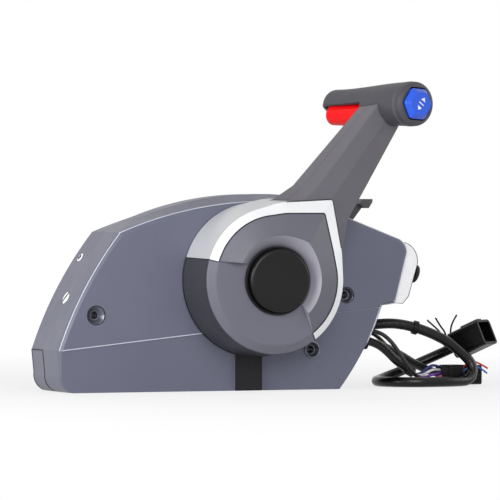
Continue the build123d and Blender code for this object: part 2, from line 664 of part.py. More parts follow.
def make_shaft_frame():
    """A metal plate on four legs with the bearing boss for the control shaft."""
    pads = [(Pos(x, z) * Circle(LEG_RADIUS + LEG_MARGIN)) for x, z in LEG_PLACES]
    outline = make_hull([edge for pad in pads for edge in pad.edges()])
    frame = slab(outline, FRAME_PLACE, FRAME_PLACE + FRAME_THICKNESS)
    window_sketch = Pos(FRAME_WINDOW_X, PIVOT_HEIGHT) * RectangleRounded(20, 40, 6)
    frame -= slab(window_sketch, -FAR_AWAY, FAR_AWAY)
    frame += rod(0, PIVOT_HEIGHT, SHAFT_RADIUS + BUSH_WALL + 4, FRAME_PLACE,
                 FRAME_PLACE + FRAME_BOSS_LENGTH)
    for x, z in LEG_PLACES:
        frame += rod(x, z, LEG_RADIUS, FRAME_PLACE, RING_HALF)
    for x in (shift_x(), throttle_x()):
        frame += rod(x, PIVOT_HEIGHT, PIN_RADIUS + 3.5, FRAME_PLACE, FRAME_PLACE + FRAME_BOSS_LENGTH)
    frame -= rod(0, PIVOT_HEIGHT, SHAFT_RADIUS + BUSH_WALL, -FAR_AWAY, FAR_AWAY)
    for x in (shift_x(), throttle_x()):
        frame -= rod(x, PIVOT_HEIGHT, PIN_RADIUS, -FAR_AWAY, FAR_AWAY)
    for x, z in LEG_PLACES:
        frame -= rod(x, z, SCREW_RADIUS, RING_HALF - 15, RING_HALF + 1)
    return frame


def make_shaft_bush():
    """The plain bearing in the frame's boss, with a flange on its inboard end."""
    radius = SHAFT_RADIUS + BUSH_WALL
    bush = rod(0, PIVOT_HEIGHT, radius, FRAME_PLACE, FRAME_PLACE + FRAME_BOSS_LENGTH)
    bush += rod(0, PIVOT_HEIGHT, radius + 4, FRAME_PLACE - 2, FRAME_PLACE)
    return bush - rod(0, PIVOT_HEIGHT, SHAFT_RADIUS + SHAFT_FIT, -FAR_AWAY, FAR_AWAY)


def pitch_radius(teeth):
    return teeth * GEAR_MODULE / 2


def shift_x():
    return -(pitch_radius(PINION_TEETH) + pitch_radius(SHIFT_TEETH))


def throttle_x():
    return pitch_radius(PINION_TEETH) + pitch_radius(THROTTLE_TEETH)


def gear_sketch(teeth, first_angle, spread=360.0):
    """Straight-flanked teeth around a root circle. A tooth stands at first_angle, in degrees."""
    pitch = 360.0 / teeth
    radius = pitch_radius(teeth)
    root, tip = radius - 1.25 * GEAR_MODULE, radius + 0.9 * GEAR_MODULE
    half = degrees((pi * GEAR_MODULE / 2 - GEAR_BACKLASH) / 2 / radius)
    flank = tan(radians(20))
    at_root = half + degrees(1.25 * GEAR_MODULE * flank / radius)
    at_tip = half - degrees(0.9 * GEAR_MODULE * flank / radius)
    side = int(spread / 2 / pitch)
    indices = range(teeth) if spread == 360.0 else range(-side, side + 1)
    sketch = Sketch() + Circle(root + 0.01)
    for index in indices:
        angle = first_angle + index * pitch
        corners = [(root - 1, at_root), (root, at_root), (tip, at_tip),
                   (tip, -at_tip), (root, -at_root), (root - 1, -at_root)]
        points = [(r * cos(radians(angle + a)), r * sin(radians(angle + a))) for r, a in corners]
        sketch += make_face(Polyline(*points, close=True))
    return sketch


def sector_sketch(teeth, middle_angle, arm_length, arm_angle):
    """A toothed sector, cut from its gear, with an arm for a cable pin."""
    radius = pitch_radius(teeth)
    spread = 2 * SECTOR_SPREAD if teeth > 2 * PINION_TEETH else 2.2 * SECTOR_SPREAD
    gear = gear_sketch(teeth, middle_angle, spread * 0.72)
    reach = 3 * radius
    fan = [(0, 0)] + [
        (reach * cos(radians(middle_angle + side * spread / 2 * 0.8)),
         reach * sin(radians(middle_angle + side * spread / 2 * 0.8))) for side in (-1, -0.4, 0.4, 1)
    ]
    sector = gear & make_face(Polyline(*fan, close=True))
    sector += Circle(PIN_RADIUS + 5)
    end = (arm_length * cos(radians(arm_angle)), arm_length * sin(radians(arm_angle)))
    arm = make_hull(Circle(PIN_RADIUS + 4).edges() + (Pos(*end) * Circle(5)).edges())
    return sector + arm - Circle(PIN_RADIUS + SHAFT_FIT) - Pos(*end) * Circle(2.5)


def at_pivot_height(x, sketch):
    return Pos(x, PIVOT_HEIGHT) * sketch


def make_drive_pinion():
    """The pinion that is keyed on the control shaft."""
    sketch = gear_sketch(PINION_TEETH, 180.0 / PINION_TEETH) - Circle(SHAFT_RADIUS)
    return slab(at_pivot_height(0, sketch), GEAR_PLACE, GEAR_PLACE + GEAR_WIDTH)


def make_shift_sector():
    sketch = sector_sketch(SHIFT_TEETH, 0.0, SHIFT_ARM_LENGTH, -90.0)
    return slab(at_pivot_height(shift_x(), sketch), GEAR_PLACE + 1, GEAR_PLACE + GEAR_WIDTH - 1)


def make_throttle_sector():
    sketch = sector_sketch(THROTTLE_TEETH, 180.0, THROTTLE_ARM_LENGTH, -90.0)
    return slab(at_pivot_height(throttle_x(), sketch), GEAR_PLACE + 1, GEAR_PLACE + GEAR_WIDTH - 1)


def make_sector_pins():
    """The two fixed pins that the sectors turn on, each with a retaining head."""
    pins = []
    for x in (shift_x(), throttle_x()):
        pin = rod(x, PIVOT_HEIGHT, PIN_RADIUS, FRAME_PLACE, GEAR_PLACE + GEAR_WIDTH + 1)
        pins.append(pin + rod(x, PIVOT_HEIGHT, PIN_RADIUS + 2, GEAR_PLACE + GEAR_WIDTH,
                              GEAR_PLACE + GEAR_WIDTH + 2.5))
    return Compound(children=pins)


def make_control_shaft():
    """The hollow shaft from the hub to the gears; the button's rod runs inside it."""
    shaft = rod(0, PIVOT_HEIGHT, SHAFT_RADIUS, depth(SHAFT_REACH), GEAR_PLACE + GEAR_WIDTH + 6)
    return shaft - rod(0, PIVOT_HEIGHT, SHAFT_BORE, -FAR_AWAY, FAR_AWAY)


# ---- Handle pieces. They are drawn upright, the arm along +Z from the pivot, then tilted. ----

def handle_place():
    return Pos(0, 0, PIVOT_HEIGHT) * Rot(0, REST_TILT, 0)


def tilted(shape):
    return handle_place() * shape


def layer(sketch, d_back, d_front):
    """A sketch in the upright handle's X and Z, between two depths from the case's face."""
    return slab(sketch, depth(d_front), depth(d_back))


def hub_outline(radius, swell, reach):
    """A circle drawn out to a tip where the arm leaves it, its cheeks slightly swollen."""
    tip_share = (reach - TIP_RADIUS) / HUB_SHOULDER[3]
    tip = Pos(TIP_OFFSET * tip_share, reach - TIP_RADIUS) * Circle(TIP_RADIUS)
    lift = CHEEK_RISE * radius
    # Without its swell, a circle at this height would just touch the straight cheeks.
    lean = (radius - TIP_RADIUS) / (reach - TIP_RADIUS)
    cheek = Pos(0, lift) * Circle(radius - lift * lean + swell)
    return make_hull(Circle(radius).edges() + cheek.edges() + tip.edges())


def hub_station(station, inset, depth_inset):
    d, radius, swell, reach = station
    outline = hub_outline(radius - inset, swell, reach - inset * reach / radius)
    return Plane.XZ.offset(-depth(d - depth_inset)) * outline


def hub_form(inset):
    """The hub's outer form with its drafted side and front bevel, shrunk by inset."""
    back = hub_station(HUB_BACK, inset, 0)
    shoulder = hub_station(HUB_SHOULDER, inset, inset / 2)
    front = hub_station(HUB_FRONT, inset / 2, inset)
    return loft([back, shoulder], ruled=True) + loft([shoulder, front], ruled=True)


def trim_sector():
    """The part of the hub on the arm's side of the two trim ends."""
    angle = radians(TRIM_END_ANGLE)
    reach = 3 * HUB_RADIUS
    end_x, end_z = reach * sin(angle), reach * cos(angle)
    fan = Polyline((0, 0), (-end_x, end_z), (-reach, reach), (reach, reach), (end_x, end_z), close=True)
    return layer(make_face(fan), -5, HUB_DEPTH + 30)


def trim_form():
    shell = hub_form(0) - hub_form(TRIM_WALL)
    shell -= layer(hub_outline(*HUB_FRONT[1:]), HUB_BACK[0], HUB_DEPTH + 1)
    return shell & trim_sector()


def make_silver_trim():
    """The bright band round the arm's half of the hub."""
    return tilted(trim_form() - arm_form(0))


def make_hub_cover():
    """The dark hub cup with its bevelled rim; the trim sits in a step round its upper part."""
    cover = hub_form(0) - trim_form() - hub_form(TRIM_WALL + HUB_WALL)
    cover -= arm_form(0)
    cover -= layer(Circle(BUTTON_RADIUS + BUTTON_RING_WALL), 0, HUB_DEPTH + 5)
    return tilted(cover)


def make_hub_fairing():
    """The ridged rise between trim and button, with a conical dish round the button."""
    radius, swell, reach = HUB_FRONT[1:]
    foot = hub_outline(radius - FIT_GAP, swell, reach - FIT_GAP)
    shrink = FAIRING_RISE * FAIRING_RUN
    top = hub_outline(radius - shrink, swell, reach - shrink * reach / radius)
    fairing = loft([Plane.XZ.offset(-depth(HUB_DEPTH)) * foot,
                    Plane.XZ.offset(-depth(HUB_DEPTH + FAIRING_RISE)) * top], ruled=True)
    angle = radians(TRIM_END_ANGLE)
    far = 3 * HUB_RADIUS
    bend_x, bend_z = FAIRING_BEND
    end_x, end_z = 58 * sin(angle), 58 * cos(angle)
    out_x, out_z = far * (end_x - bend_x), far * (end_z - bend_z)
    fan = Polyline((-bend_x, bend_z), (-out_x, out_z), (-far * 60, far * 60),
                   (far * 60, far * 60), (out_x, out_z), (bend_x, bend_z), close=True)
    fairing &= layer(make_face(fan), 0, HUB_DEPTH + 30)
    rise = 30.0
    dish = Solid.make_cone(DISH_BACK_RADIUS, DISH_BACK_RADIUS + rise / tan(radians(DISH_SLOPE)), rise,
                           Plane(origin=(0, depth(HUB_DEPTH), 0), z_dir=(0, -1, 0)))
    return tilted(fairing - dish)


def make_button_ring():
    """The bezel that guides the button."""
    ring = Circle(BUTTON_RADIUS + BUTTON_RING_WALL) - Circle(BUTTON_RADIUS + 0.3)
    return tilted(layer(ring, HUB_DEPTH - 7, HUB_DEPTH + 2.2))


def make_throttle_only_button():
    """A crowned cap on a long rod; pushed in, it frees the shift gears from the lever."""
    cap = layer(Circle(BUTTON_RADIUS), BUTTON_DEPTH - 15, BUTTON_DEPTH)
    cap = fillet(cap.edges().sort_by(Axis.Y)[:1], 2.5)
    cap -= layer(Circle(BUTTON_RADIUS - 3), BUTTON_DEPTH - 16, BUTTON_DEPTH - BUTTON_CAP)
    cap += slab(Circle(SHAFT_BORE - 0.4), depth(BUTTON_DEPTH - BUTTON_CAP), GEAR_PLACE)
    return tilted(cap)


def make_button_spring():
    """The coil that pushes the button out. It sits against the button's back."""
    length = BUTTON_DEPTH - BUTTON_CAP - SHAFT_REACH - BUTTON_TRAVEL - 3 * SPRING_WIRE
    helix = Helix(pitch=SPRING_PITCH, height=length, radius=SPRING_RADIUS)
    wire = sweep(Plane(origin=helix @ 0, z_dir=helix % 0) * Circle(SPRING_WIRE), path=helix)
    free_end = depth(SHAFT_REACH + BUTTON_TRAVEL + 2 * SPRING_WIRE)
    return tilted(Pos(0, free_end, 0) * Rot(90, 0, 0) * wire)


def make_hub_nut():
    nut = RegularPolygon(13, 6) - Circle(SHAFT_RADIUS)
    return tilted(layer(nut, CASTING_BOSS_FRONT, SHAFT_REACH))


def make_handle_casting():
    """The metal core: a boss on the shaft, a flange, and a bar that runs up inside the arm."""
    boss = layer(Circle(16), CASTING_BACK, CASTING_BOSS_FRONT)
    flange = layer(Circle(40), CASTING_BACK, CASTING_BACK + 5)
    bar_sketch = Pos(0, (CASTING_REACH + 10) / 2) * Rectangle(12, CASTING_REACH - 10)
    bar = layer(bar_sketch, CASTING_BAR_BACK, CASTING_BAR_BACK + 5)
    casting = boss + flange + bar - layer(Circle(SHAFT_RADIUS), 0, 99)
    for z in ARM_SCREW_HEIGHTS:
        casting -= layer(Pos(0, z) * Circle(SCREW_RADIUS + SCREW_CLEARANCE), 0, 99)
    return tilted(casting)


def arm_section(height, back_left, ridge_left, ridge_right, front_right, back_right, inset):
    """One cross-section of the arm, seen along it, shrunk by inset."""
    front, back = ARM_FRONT - inset, ARM_BACK + inset
    shoulder = ARM_FRONT - ARM_SHOULDER_DROP - inset * 0.9
    corners = [(back_left + 1.2 * inset, back), (ridge_left + 0.6 * inset, front),
               (ridge_right, front), (front_right - 1.1 * inset, shoulder),
               (back_right - 1.1 * inset, back)]
    points = [(x, depth(d)) for x, d in corners]
    return Plane.XY.offset(height) * make_face(Polyline(*points, close=True))


def arm_form(inset):
    """The arm as a faceted, tapering bar, flared where it enters the hub."""
    sections = [arm_section(*row, inset) for row in ARM_SECTIONS]
    if inset:
        low, high = ARM_SECTIONS[0], ARM_SECTIONS[-1]
        sections[0] = arm_section(low[0] - 5, *low[1:], inset)
        sections[-1] = arm_section(high[0] + 5, *high[1:], inset)
    return Part() + [
        loft([first, second], ruled=True) for first, second in zip(sections, sections[1:])
    ]


def arm_half(d_back, d_front):
    region = Pos(0, depth((d_back + d_front) / 2), GRIP_REACH / 2)
    return region * Box(3 * HUB_RADIUS, d_front - d_back, 2 * GRIP_REACH)


def arm_boss(z, radius, d_back, d_front):
    return layer(Pos(0, z) * Circle(radius), d_back, d_front)


def make_handle_arm():
    """The inboard half of the arm, with the three visible facets."""
    arm = arm_form(0) - arm_form(ARM_WALL)
    for z in ARM_SCREW_HEIGHTS:
        arm += arm_boss(z, 4.2, CASTING_BAR_BACK + 5, ARM_FRONT - 1)
    arm &= arm_half(ARM_PARTING - 4, 60)
    lower = arm_form(0) & arm_half(0, ARM_PARTING)
    for z in ARM_SCREW_HEIGHTS:
        lower -= arm_boss(z, 4.2, 0, 99)
        arm -= arm_boss(z, SCREW_RADIUS, 0, ARM_FRONT - 5)
    arm -= lower
    return tilted(arm - grip_hull())


def make_arm_back_cover():
    """The outboard half of the arm."""
    cover = (arm_form(0) - arm_form(ARM_WALL)) & arm_half(0, ARM_PARTING)
    for z in ARM_SCREW_HEIGHTS:
        cover -= arm_boss(z, SCREW_RADIUS + SCREW_CLEARANCE, 0, 99)
        cover -= arm_boss(z, SCREW_HEAD_RADIUS + SCREW_CLEARANCE, 0, ARM_BACK + 1.4)
    return tilted(cover - grip_hull())


def make_arm_screws():
    screws = []
    for z in ARM_SCREW_HEIGHTS:
        head = arm_boss(z, SCREW_HEAD_RADIUS, ARM_BACK + 0.2, ARM_BACK + 1.4)
        screws.append(head + arm_boss(z, SCREW_RADIUS, ARM_BACK + 1.4, ARM_FRONT - 6))
    return tilted(Compound(children=screws))


# The grip lies level, so in the upright handle's frame it is turned and raised.

def grip_place():
    """The grip's own frame in the upright handle: -Y is the near end, Z is up the arm."""
    level_turn = radians(GRIP_PLAN_ANGLE)
    turn = degrees(atan2(cos(radians(REST_TILT)) * sin(level_turn), cos(level_turn)))
    rise = degrees(asin(sin(radians(REST_TILT)) * sin(level_turn)))
    middle = Pos(GRIP_OFFSET, depth((ARM_BACK + ARM_FRONT) / 2), GRIP_REACH)
    return middle * Rot(0, 0, turn) * Rot(-rise, 0, 0)


def grip_form(inset):
    """The grip's round body, thinner towards its far end."""
    stations = ((GRIP_FAR, GRIP_FAR_RADIUS - 2, GRIP_FAR_RADIUS - 1), (20.0, 15.5, 16.5),
                (-12.0, 18.0, 18.6), (-GRIP_NEAR, GRIP_NEAR_RADIUS, GRIP_NEAR_RADIUS))
    sections = [
        Plane(origin=(0, y, 0), z_dir=(0, -1, 0), x_dir=(1, 0, 0)) * Ellipse(a - inset, b - inset)
        for y, a, b in stations
    ]
    body = loft(sections)
    if not inset:
        body = fillet(body.edges().sort_by(Axis.Y)[-1:], 8)
        body = fillet(body.edges().sort_by(Axis.Y)[:1], 4)
    return body


def grip_hull():
    return grip_place() * grip_form(0)


def rocker_sketch(gap):
    outline = RegularPolygon(ROCKER_RADIUS + gap, 6, rotation=30)
    return fillet(outline.vertices(), 4.0)


def make_grip():
    """The cross grip, hollow, with a deep channel for the bar and a pocket for the rocker."""
    grip = grip_form(0)
    hollow = grip_form(GRIP_WALL) & block(-FAR_AWAY, FAR_AWAY, -GRIP_NEAR + 14, GRIP_FAR - 4,
                                          -FAR_AWAY, FAR_AWAY)
    grip -= hollow
    grip -= block(-FAR_AWAY, FAR_AWAY, BAR_START - 1.5, GRIP_FAR + 20, -FAR_AWAY, GRIP_LIP)
    grip -= slab(rocker_sketch(1.2), -GRIP_NEAR - 1, -GRIP_NEAR + 11)
    grip -= rocker_pin_rod(0)
    window = Pos(ROD_X - 1, depth(ARM_PARTING + 2), GRIP_REACH - 15) * Box(12, 14, 20)
    return tilted(grip_place() * grip - window)


def rocker_pin_rod(gap):
    pin = Plane(origin=(-ROCKER_PIN_REACH, ROCKER_AXIS_Y, 0), z_dir=(1, 0, 0)) * Circle(1.3 + gap)
    return extrude(pin, 2 * ROCKER_PIN_REACH)


def make_rocker_pin():
    return tilted(grip_place() * rocker_pin_rod(0))


def make_trim_rocker():
    """The two-way rocker on the grip's near end, raised like a blunt pyramid."""
    edge, face = GRIP_NEAR + ROCKER_BASE, GRIP_NEAR + ROCKER_BASE + ROCKER_RISE
    rocker = slab(rocker_sketch(0), -edge, -GRIP_NEAR + 6)
    rocker += loft([Plane.XZ.offset(edge) * rocker_sketch(0),
                    Plane.XZ.offset(face) * rocker_sketch(-ROCKER_TAPER)], ruled=True)
    return tilted(grip_place() * (rocker - rocker_pin_rod(SHAFT_FIT)))


def make_release_bar():
    """The red lift bar under the far half of the grip."""
    lowered = Pos(0, 0, -BAR_DROP) * grip_form(GRIP_WALL + 1.2)
    shoulder = GRIP_LIP - BAR_TRAVEL - 0.6
    bar = lowered & block(-FAR_AWAY, FAR_AWAY, BAR_START, BAR_END, -FAR_AWAY, FAR_AWAY)
    bar = fillet(bar.faces().sort_by(Axis.Y)[-1:].edges(), BAR_ROUND)
    bar &= block(-FAR_AWAY, FAR_AWAY, -FAR_AWAY, FAR_AWAY, -FAR_AWAY, BAR_TOP)
    for side in (-1, 1):
        low, high = sorted((side * BAR_NECK, side * FAR_AWAY))
        bar -= block(low, high, -FAR_AWAY, FAR_AWAY, shoulder, FAR_AWAY)
    tongue = block(-3, 3, BAR_TONGUE_END, BAR_START + 1, -9, -5)
    return tilted(grip_place() * (bar + tongue) - lock_rod())


def lock_rod():
    """The flat rod inside the arm that the release bar lifts."""
    sketch = Pos(ROD_X, (ROD_LOW + GRIP_REACH - 8) / 2) * Rectangle(4, GRIP_REACH - 8 - ROD_LOW)
    return layer(sketch, ARM_PARTING + 1, ARM_PARTING + 3.2)


def make_lock_rod():
    return tilted(lock_rod())


# ---- Wiring loom: it leaves the rear slope, arches to the floor and folds back under itself. ----

def corner_radii(points):
    """The largest arc that each corner's two runs allow."""
    places = [Vector(*point) for point in points]
    radii = []
    for before, corner, after in zip(places, places[1:], places[2:]):
        run_in, run_out = corner - before, after - corner
        turn = radians(run_in.get_angle(run_out))
        radii.append(0.45 * min(run_in.length, run_out.length) / tan(turn / 2))
    return radii


def cord_tube(name, points, radius):
    """A cord's plain tube: straight runs joined by tangent arcs."""
    radii = corner_radii(points)
    path = FilletPolyline(*points, radius=radii)
    print(name, "length", round(path.length, 1), "radii", [round(r, 1) for r in radii])
    section = Plane(origin=path @ 0, z_dir=path % 0) * Circle(radius)
    cord = sweep(section, path=path)
    print(name, "volume share", round(cord.volume / (pi * radius ** 2 * path.length), 3))
    return cord


def end_place(points, index):
    """A frame at a route's end, Z pointing away from the cord."""
    end, beside = Vector(*points[index]), Vector(*points[1 if index == 0 else -2])
    return Plane(origin=end, z_dir=end - beside).location


def grommet_block(x_low, x_high):
    y, z = GROMMET_CENTRE
    sketch = Plane.YZ.offset(x_low) * Pos(y, z) * RectangleRounded(*GROMMET_SIZE, 7)
    return extrude(sketch, x_high - x_low)


def along_x(y, z, radius, x_low, x_high):
    return extrude(Plane.YZ.offset(x_low) * Pos(y, z) * Circle(radius), x_high - x_low)


def make_loom_grommet():
    """The rubber block in the rear slope, with a bore for each of the three cords."""
    block_form = grommet_block(GROMMET_START, GROMMET_END)
    for route, radius in ((LOOM_ROUTE, LOOM_RADIUS), (SWITCH_ROUTE, LEAD_RADIUS),
                          (TRIM_ROUTE, LEAD_RADIUS)):
        _, y, z = route[0]
        block_form -= along_x(y, z, radius - 0.5, GROMMET_START - 1, GROMMET_END + 1)
    return block_form


def make_main_loom():
    return cord_tube("main_loom", LOOM_ROUTE, LOOM_RADIUS)


def make_switch_lead():
    return cord_tube("switch_lead", SWITCH_ROUTE, LEAD_RADIUS)


def make_trim_lead():
    return cord_tube("trim_lead", TRIM_ROUTE, LEAD_RADIUS)


def make_lead_boot():
    """The shrink boot where the switch lead divides into single wires."""
    boot = Pos(0, 0, BOOT_LENGTH / 2) * Cone(LEAD_RADIUS + 1.2, LEAD_RADIUS + 0.2, BOOT_LENGTH)
    return end_place(SWITCH_ROUTE, -1) * boot


def gauge_wire_route(index):
    """One single wire's route, from the boot's end face to the gauge plug's back."""
    side = index - (GAUGE_WIRE_COUNT - 1) / 2
    boot_end = end_place(SWITCH_ROUTE, -1) * Pos(0, 0, BOOT_LENGTH)
    start = boot_end.position + Vector(0, side * GAUGE_WIRE_SPREAD, 0)
    aim = (end_place(SWITCH_ROUTE, -1) * Pos(0, 0, 1)).position - Vector(*SWITCH_ROUTE[-1])
    x, _, y_low, y_high, z_low, z_high = GAUGE_PLUG
    end = Vector(x, (y_low + y_high) / 2 + side * GAUGE_WIRE_SPACING,
                 z_low + (z_high - z_low) / 3 + side * GAUGE_WIRE_RISE)
    places = [start, start + aim * GAUGE_WIRE_RUN, end - Vector(*GAUGE_WIRE_LAST_RUN), end]
    return [tuple(place) for place in places]


def make_gauge_wires():
    """The single wires between the boot and the gauge plug."""
    return Compound(children=[
        cord_tube("gauge_wire", gauge_wire_route(index), WIRE_RADIUS)
        for index in range(GAUGE_WIRE_COUNT)
    ])


def plug_body(x_low, x_high, y_low, y_high, z_low, z_high):
    """A mated connector pair: a slimmer rear half, the collar, and a latch along the top."""
    centre = Pos((x_low + x_high) / 2, (y_low + y_high) / 2, (z_low + z_high) / 2)
    length, wide, tall = x_high - x_low, y_high - y_low, z_high - z_low
    collar = Pos(length / 6, 0, 0) * Box(length * 2 / 3, wide, tall)
    collar = fillet(collar.edges().filter_by(Axis.X), 2.5)
    rear = Box(length, wide - 2 * PLUG_STEP, tall - 2 * PLUG_STEP)
    rear = fillet(rear.edges().filter_by(Axis.X), 2.0)
    latch = Pos(0, 0, tall / 2 - PLUG_STEP / 2) * Box(length * 0.8, PLUG_LATCH_WIDTH, PLUG_STEP)
    return centre * (collar + rear + latch)


def make_gauge_plug():
    return plug_body(*GAUGE_PLUG)


def make_trim_plug():
    return plug_body(*TRIM_PLUG)


def make_engine_plug():
    """The large socket connector, open towards its far end, with a latch rib on top."""
    wide, tall = ENGINE_PLUG_SIZE
    body = Box(wide, tall, ENGINE_PLUG_LENGTH)
    body = fillet(body.edges().filter_by(Axis.Z), 4)
    body += Pos(0, tall / 2, 4) * Box(8, 4, ENGINE_PLUG_LENGTH - 14)
    socket = Box(wide - 2 * PLUG_WALL, tall - 2 * PLUG_WALL, ENGINE_PLUG_LENGTH)
    body -= Pos(0, 0, ENGINE_PLUG_LENGTH - SOCKET_DEPTH) * socket
    end, beside = Vector(*LOOM_ROUTE[-1]), Vector(*LOOM_ROUTE[-2])
    level = Vector(0, 0, 1).cross(end - beside)
    place = Plane(origin=end, x_dir=level, z_dir=end - beside).location
    return place * Pos(0, 0, ENGINE_PLUG_LENGTH / 2) * body


# ---- Writing the pieces ----

PIECES = {
    "inboard_cover": make_inboard_cover,
    "case_ring": make_case_ring,
    "back_plate": make_back_plate,
    "cable_exit_cover": make_cable_exit_cover,
    "trim_wire_cover": make_trim_wire_cover,
    "switch_panel": make_switch_panel,
    "ignition_barrel": make_ignition_barrel,
    "ignition_rotor": make_ignition_rotor,
    "switch_nuts": make_switch_nuts,
    "stop_switch_body": make_stop_switch_body,
    "stop_switch_knob": make_stop_switch_knob,
    "adjuster_inserts": make_adjuster_inserts,
    "friction_screw": make_friction_screw,
    "detent_screw": make_detent_screw,
    "fast_idle_lever": make_fast_idle_lever,
    "fast_idle_pin": make_fast_idle_pin,
    "mounting_sleeves": make_mounting_sleeves,
    "case_screws": make_case_screws,
    "frame_screws": make_frame_screws,
    "shaft_frame": make_shaft_frame,
    "shaft_bush": make_shaft_bush,
    "drive_pinion": make_drive_pinion,
    "shift_sector": make_shift_sector,
    "throttle_sector": make_throttle_sector,
    "sector_pins": make_sector_pins,
    "control_shaft": make_control_shaft,
    "silver_trim": make_silver_trim,
    "hub_cover": make_hub_cover,
    "hub_fairing": make_hub_fairing,
    "button_ring": make_button_ring,
    "throttle_only_button": make_throttle_only_button,
    "button_spring": make_button_spring,
    "hub_nut": make_hub_nut,
    "handle_casting": make_handle_casting,
    "handle_arm": make_handle_arm,
    "arm_back_cover": make_arm_back_cover,
    "arm_screws": make_arm_screws,
    "grip": make_grip,
    "rocker_pin": make_rocker_pin,
    "trim_rocker": make_trim_rocker,
    "release_bar": make_release_bar,
    "lock_rod": make_lock_rod,
    "loom_grommet": make_loom_grommet,
    "main_loom": make_main_loom,
    "switch_lead": make_switch_lead,
    "trim_lead": make_trim_lead,
    "lead_boot": make_lead_boot,
    "gauge_wires": make_gauge_wires,
    "gauge_plug": make_gauge_plug,
    "trim_plug": make_trim_plug,
    "engine_plug": make_engine_plug,
}

os.makedirs("parts", exist_ok=True)
for name, make in PIECES.items():
    export_step(make(), f"parts/{name}.step")
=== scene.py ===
import json
import math

import bpy
from bpy.props import FloatProperty, FloatVectorProperty, IntProperty, PointerProperty
from mathutils import Matrix, Vector
from mathutils.bvhtree import BVHTree


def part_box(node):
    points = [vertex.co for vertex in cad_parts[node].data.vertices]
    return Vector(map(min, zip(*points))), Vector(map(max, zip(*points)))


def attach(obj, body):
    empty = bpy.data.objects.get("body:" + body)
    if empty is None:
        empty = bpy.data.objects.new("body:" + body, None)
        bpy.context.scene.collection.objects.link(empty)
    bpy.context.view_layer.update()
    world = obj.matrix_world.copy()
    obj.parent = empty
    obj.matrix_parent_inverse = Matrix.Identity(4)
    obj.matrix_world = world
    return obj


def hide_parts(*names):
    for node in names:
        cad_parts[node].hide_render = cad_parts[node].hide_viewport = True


bl_info = {
    "name": "Side-mount lever control",
    "version": (1, 0, 0),
    "blender": (4, 5, 0),
    "location": "3D View > Sidebar > Lever control",
    "description": "Finishes, wiring and small parts of a single-lever boat control",
    "category": "Object",
}

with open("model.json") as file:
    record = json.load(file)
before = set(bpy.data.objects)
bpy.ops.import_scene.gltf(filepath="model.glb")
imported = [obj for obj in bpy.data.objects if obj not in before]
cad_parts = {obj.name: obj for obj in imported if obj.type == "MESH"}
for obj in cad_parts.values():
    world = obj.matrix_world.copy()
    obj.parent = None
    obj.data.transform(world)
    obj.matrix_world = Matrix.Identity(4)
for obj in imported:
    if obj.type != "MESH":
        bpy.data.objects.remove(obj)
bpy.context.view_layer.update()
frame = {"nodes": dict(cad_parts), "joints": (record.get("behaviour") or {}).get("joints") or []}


# ---- Small helpers ----

def screen(red, green, blue):
    """A display colour, 0 to 255 a channel, as a linear colour."""
    def linear(channel):
        share = channel / 255.0
        return share / 12.92 if share <= 0.04045 else ((share + 0.055) / 1.055) ** 2.4
    return (linear(red), linear(green), linear(blue))


def settings():
    return bpy.context.scene.lever_control


def colour_property(title, note, shade):
    return FloatVectorProperty(name=title, description=note, subtype="COLOR", size=3,
                               min=0.0, max=1.0, default=screen(*shade))


def length_property(title, note, value):
    return FloatProperty(name=title, description=note, default=value, min=0.0,
                         unit="LENGTH", subtype="DISTANCE", precision=5)


# ---- Sizes and colours ----

class LeverPlastics(bpy.types.PropertyGroup):
    case: colour_property("Case", "Blue-grey plastic of the case", (100, 101, 116))
    cover: colour_property("Cover", "Blue-grey plastic of the side cover", (98, 100, 117))
    hub: colour_property("Hub", "Face of the hub", (102, 102, 114))
    skirt: colour_property("Hub's side", "Darker side wall of the hub", (57, 57, 64))
    # Painted light: a lighter copy of the fairing's plastic for the dish's sloped walls, standing in for
    # light falling into the dish.
    dish_painted_light: colour_property("Dish", "Sloped dish round the button", (150, 149, 160))
    fairing: colour_property("Fairing", "Ridged rise round the button", (96, 96, 107))
    arm: colour_property("Arm", "Plastic of the lever's arm", (97, 95, 102))
    grip: colour_property("Grip", "Plastic of the cross grip", (68, 67, 73))
    black: colour_property("Black parts", "Button and connectors", (6, 5, 7))
    # Painted highlight: the light colour of thin beads that stand in for the shine along the cover's edges.
    painted_highlight: colour_property("Polished edges", "Lines where the cover's edges shine", (206, 208, 220))
    paddle: colour_property("Paddle", "Plastic of the fast-idle paddle", (82, 81, 85))
    strip: colour_property("Strip", "Narrow cover strip under the hub", (27, 26, 30))
    red: colour_property("Release bar", "Red of the neutral release bar", (244, 4, 12))
    blue: colour_property("Trim rocker", "Blue of the trim rocker", (32, 86, 214))
    seat: colour_property("Hole seats", "Cone-shaped seats in the mounting holes", (120, 121, 130))
    symbol: colour_property("Symbols", "White of the moulded symbols", (238, 240, 244))
    grain: length_property("Grain size", "Size of the moulded surface's grain", 0.0006)
    grain_depth: length_property("Grain depth", "Depth of the moulded grain", 0.00002)
    edge: length_property("Edge rounding", "Radius at which moulded edges catch light", 0.0009)


class LeverMetals(bpy.types.PropertyGroup):
    silver: colour_property("Silver band", "Bright paint of the hub's band", (228, 229, 231))
    # Painted shade: a darker copy of the band's paint for its side wall, standing in for the shade on it.
    silver_side_painted_shade: colour_property("Silver band's side", "Duller side wall of the band", (196, 197, 200))
    panel: colour_property("End panel", "Light paint of the rear panel", (246, 246, 247))
    steel: colour_property("Steel", "Screws, shafts and gears", (176, 177, 180))
    cast: colour_property("Cast metal", "Frame and handle casting", (150, 151, 153))
    brass: colour_property("Brass", "Bush and threaded inserts", (190, 160, 92))


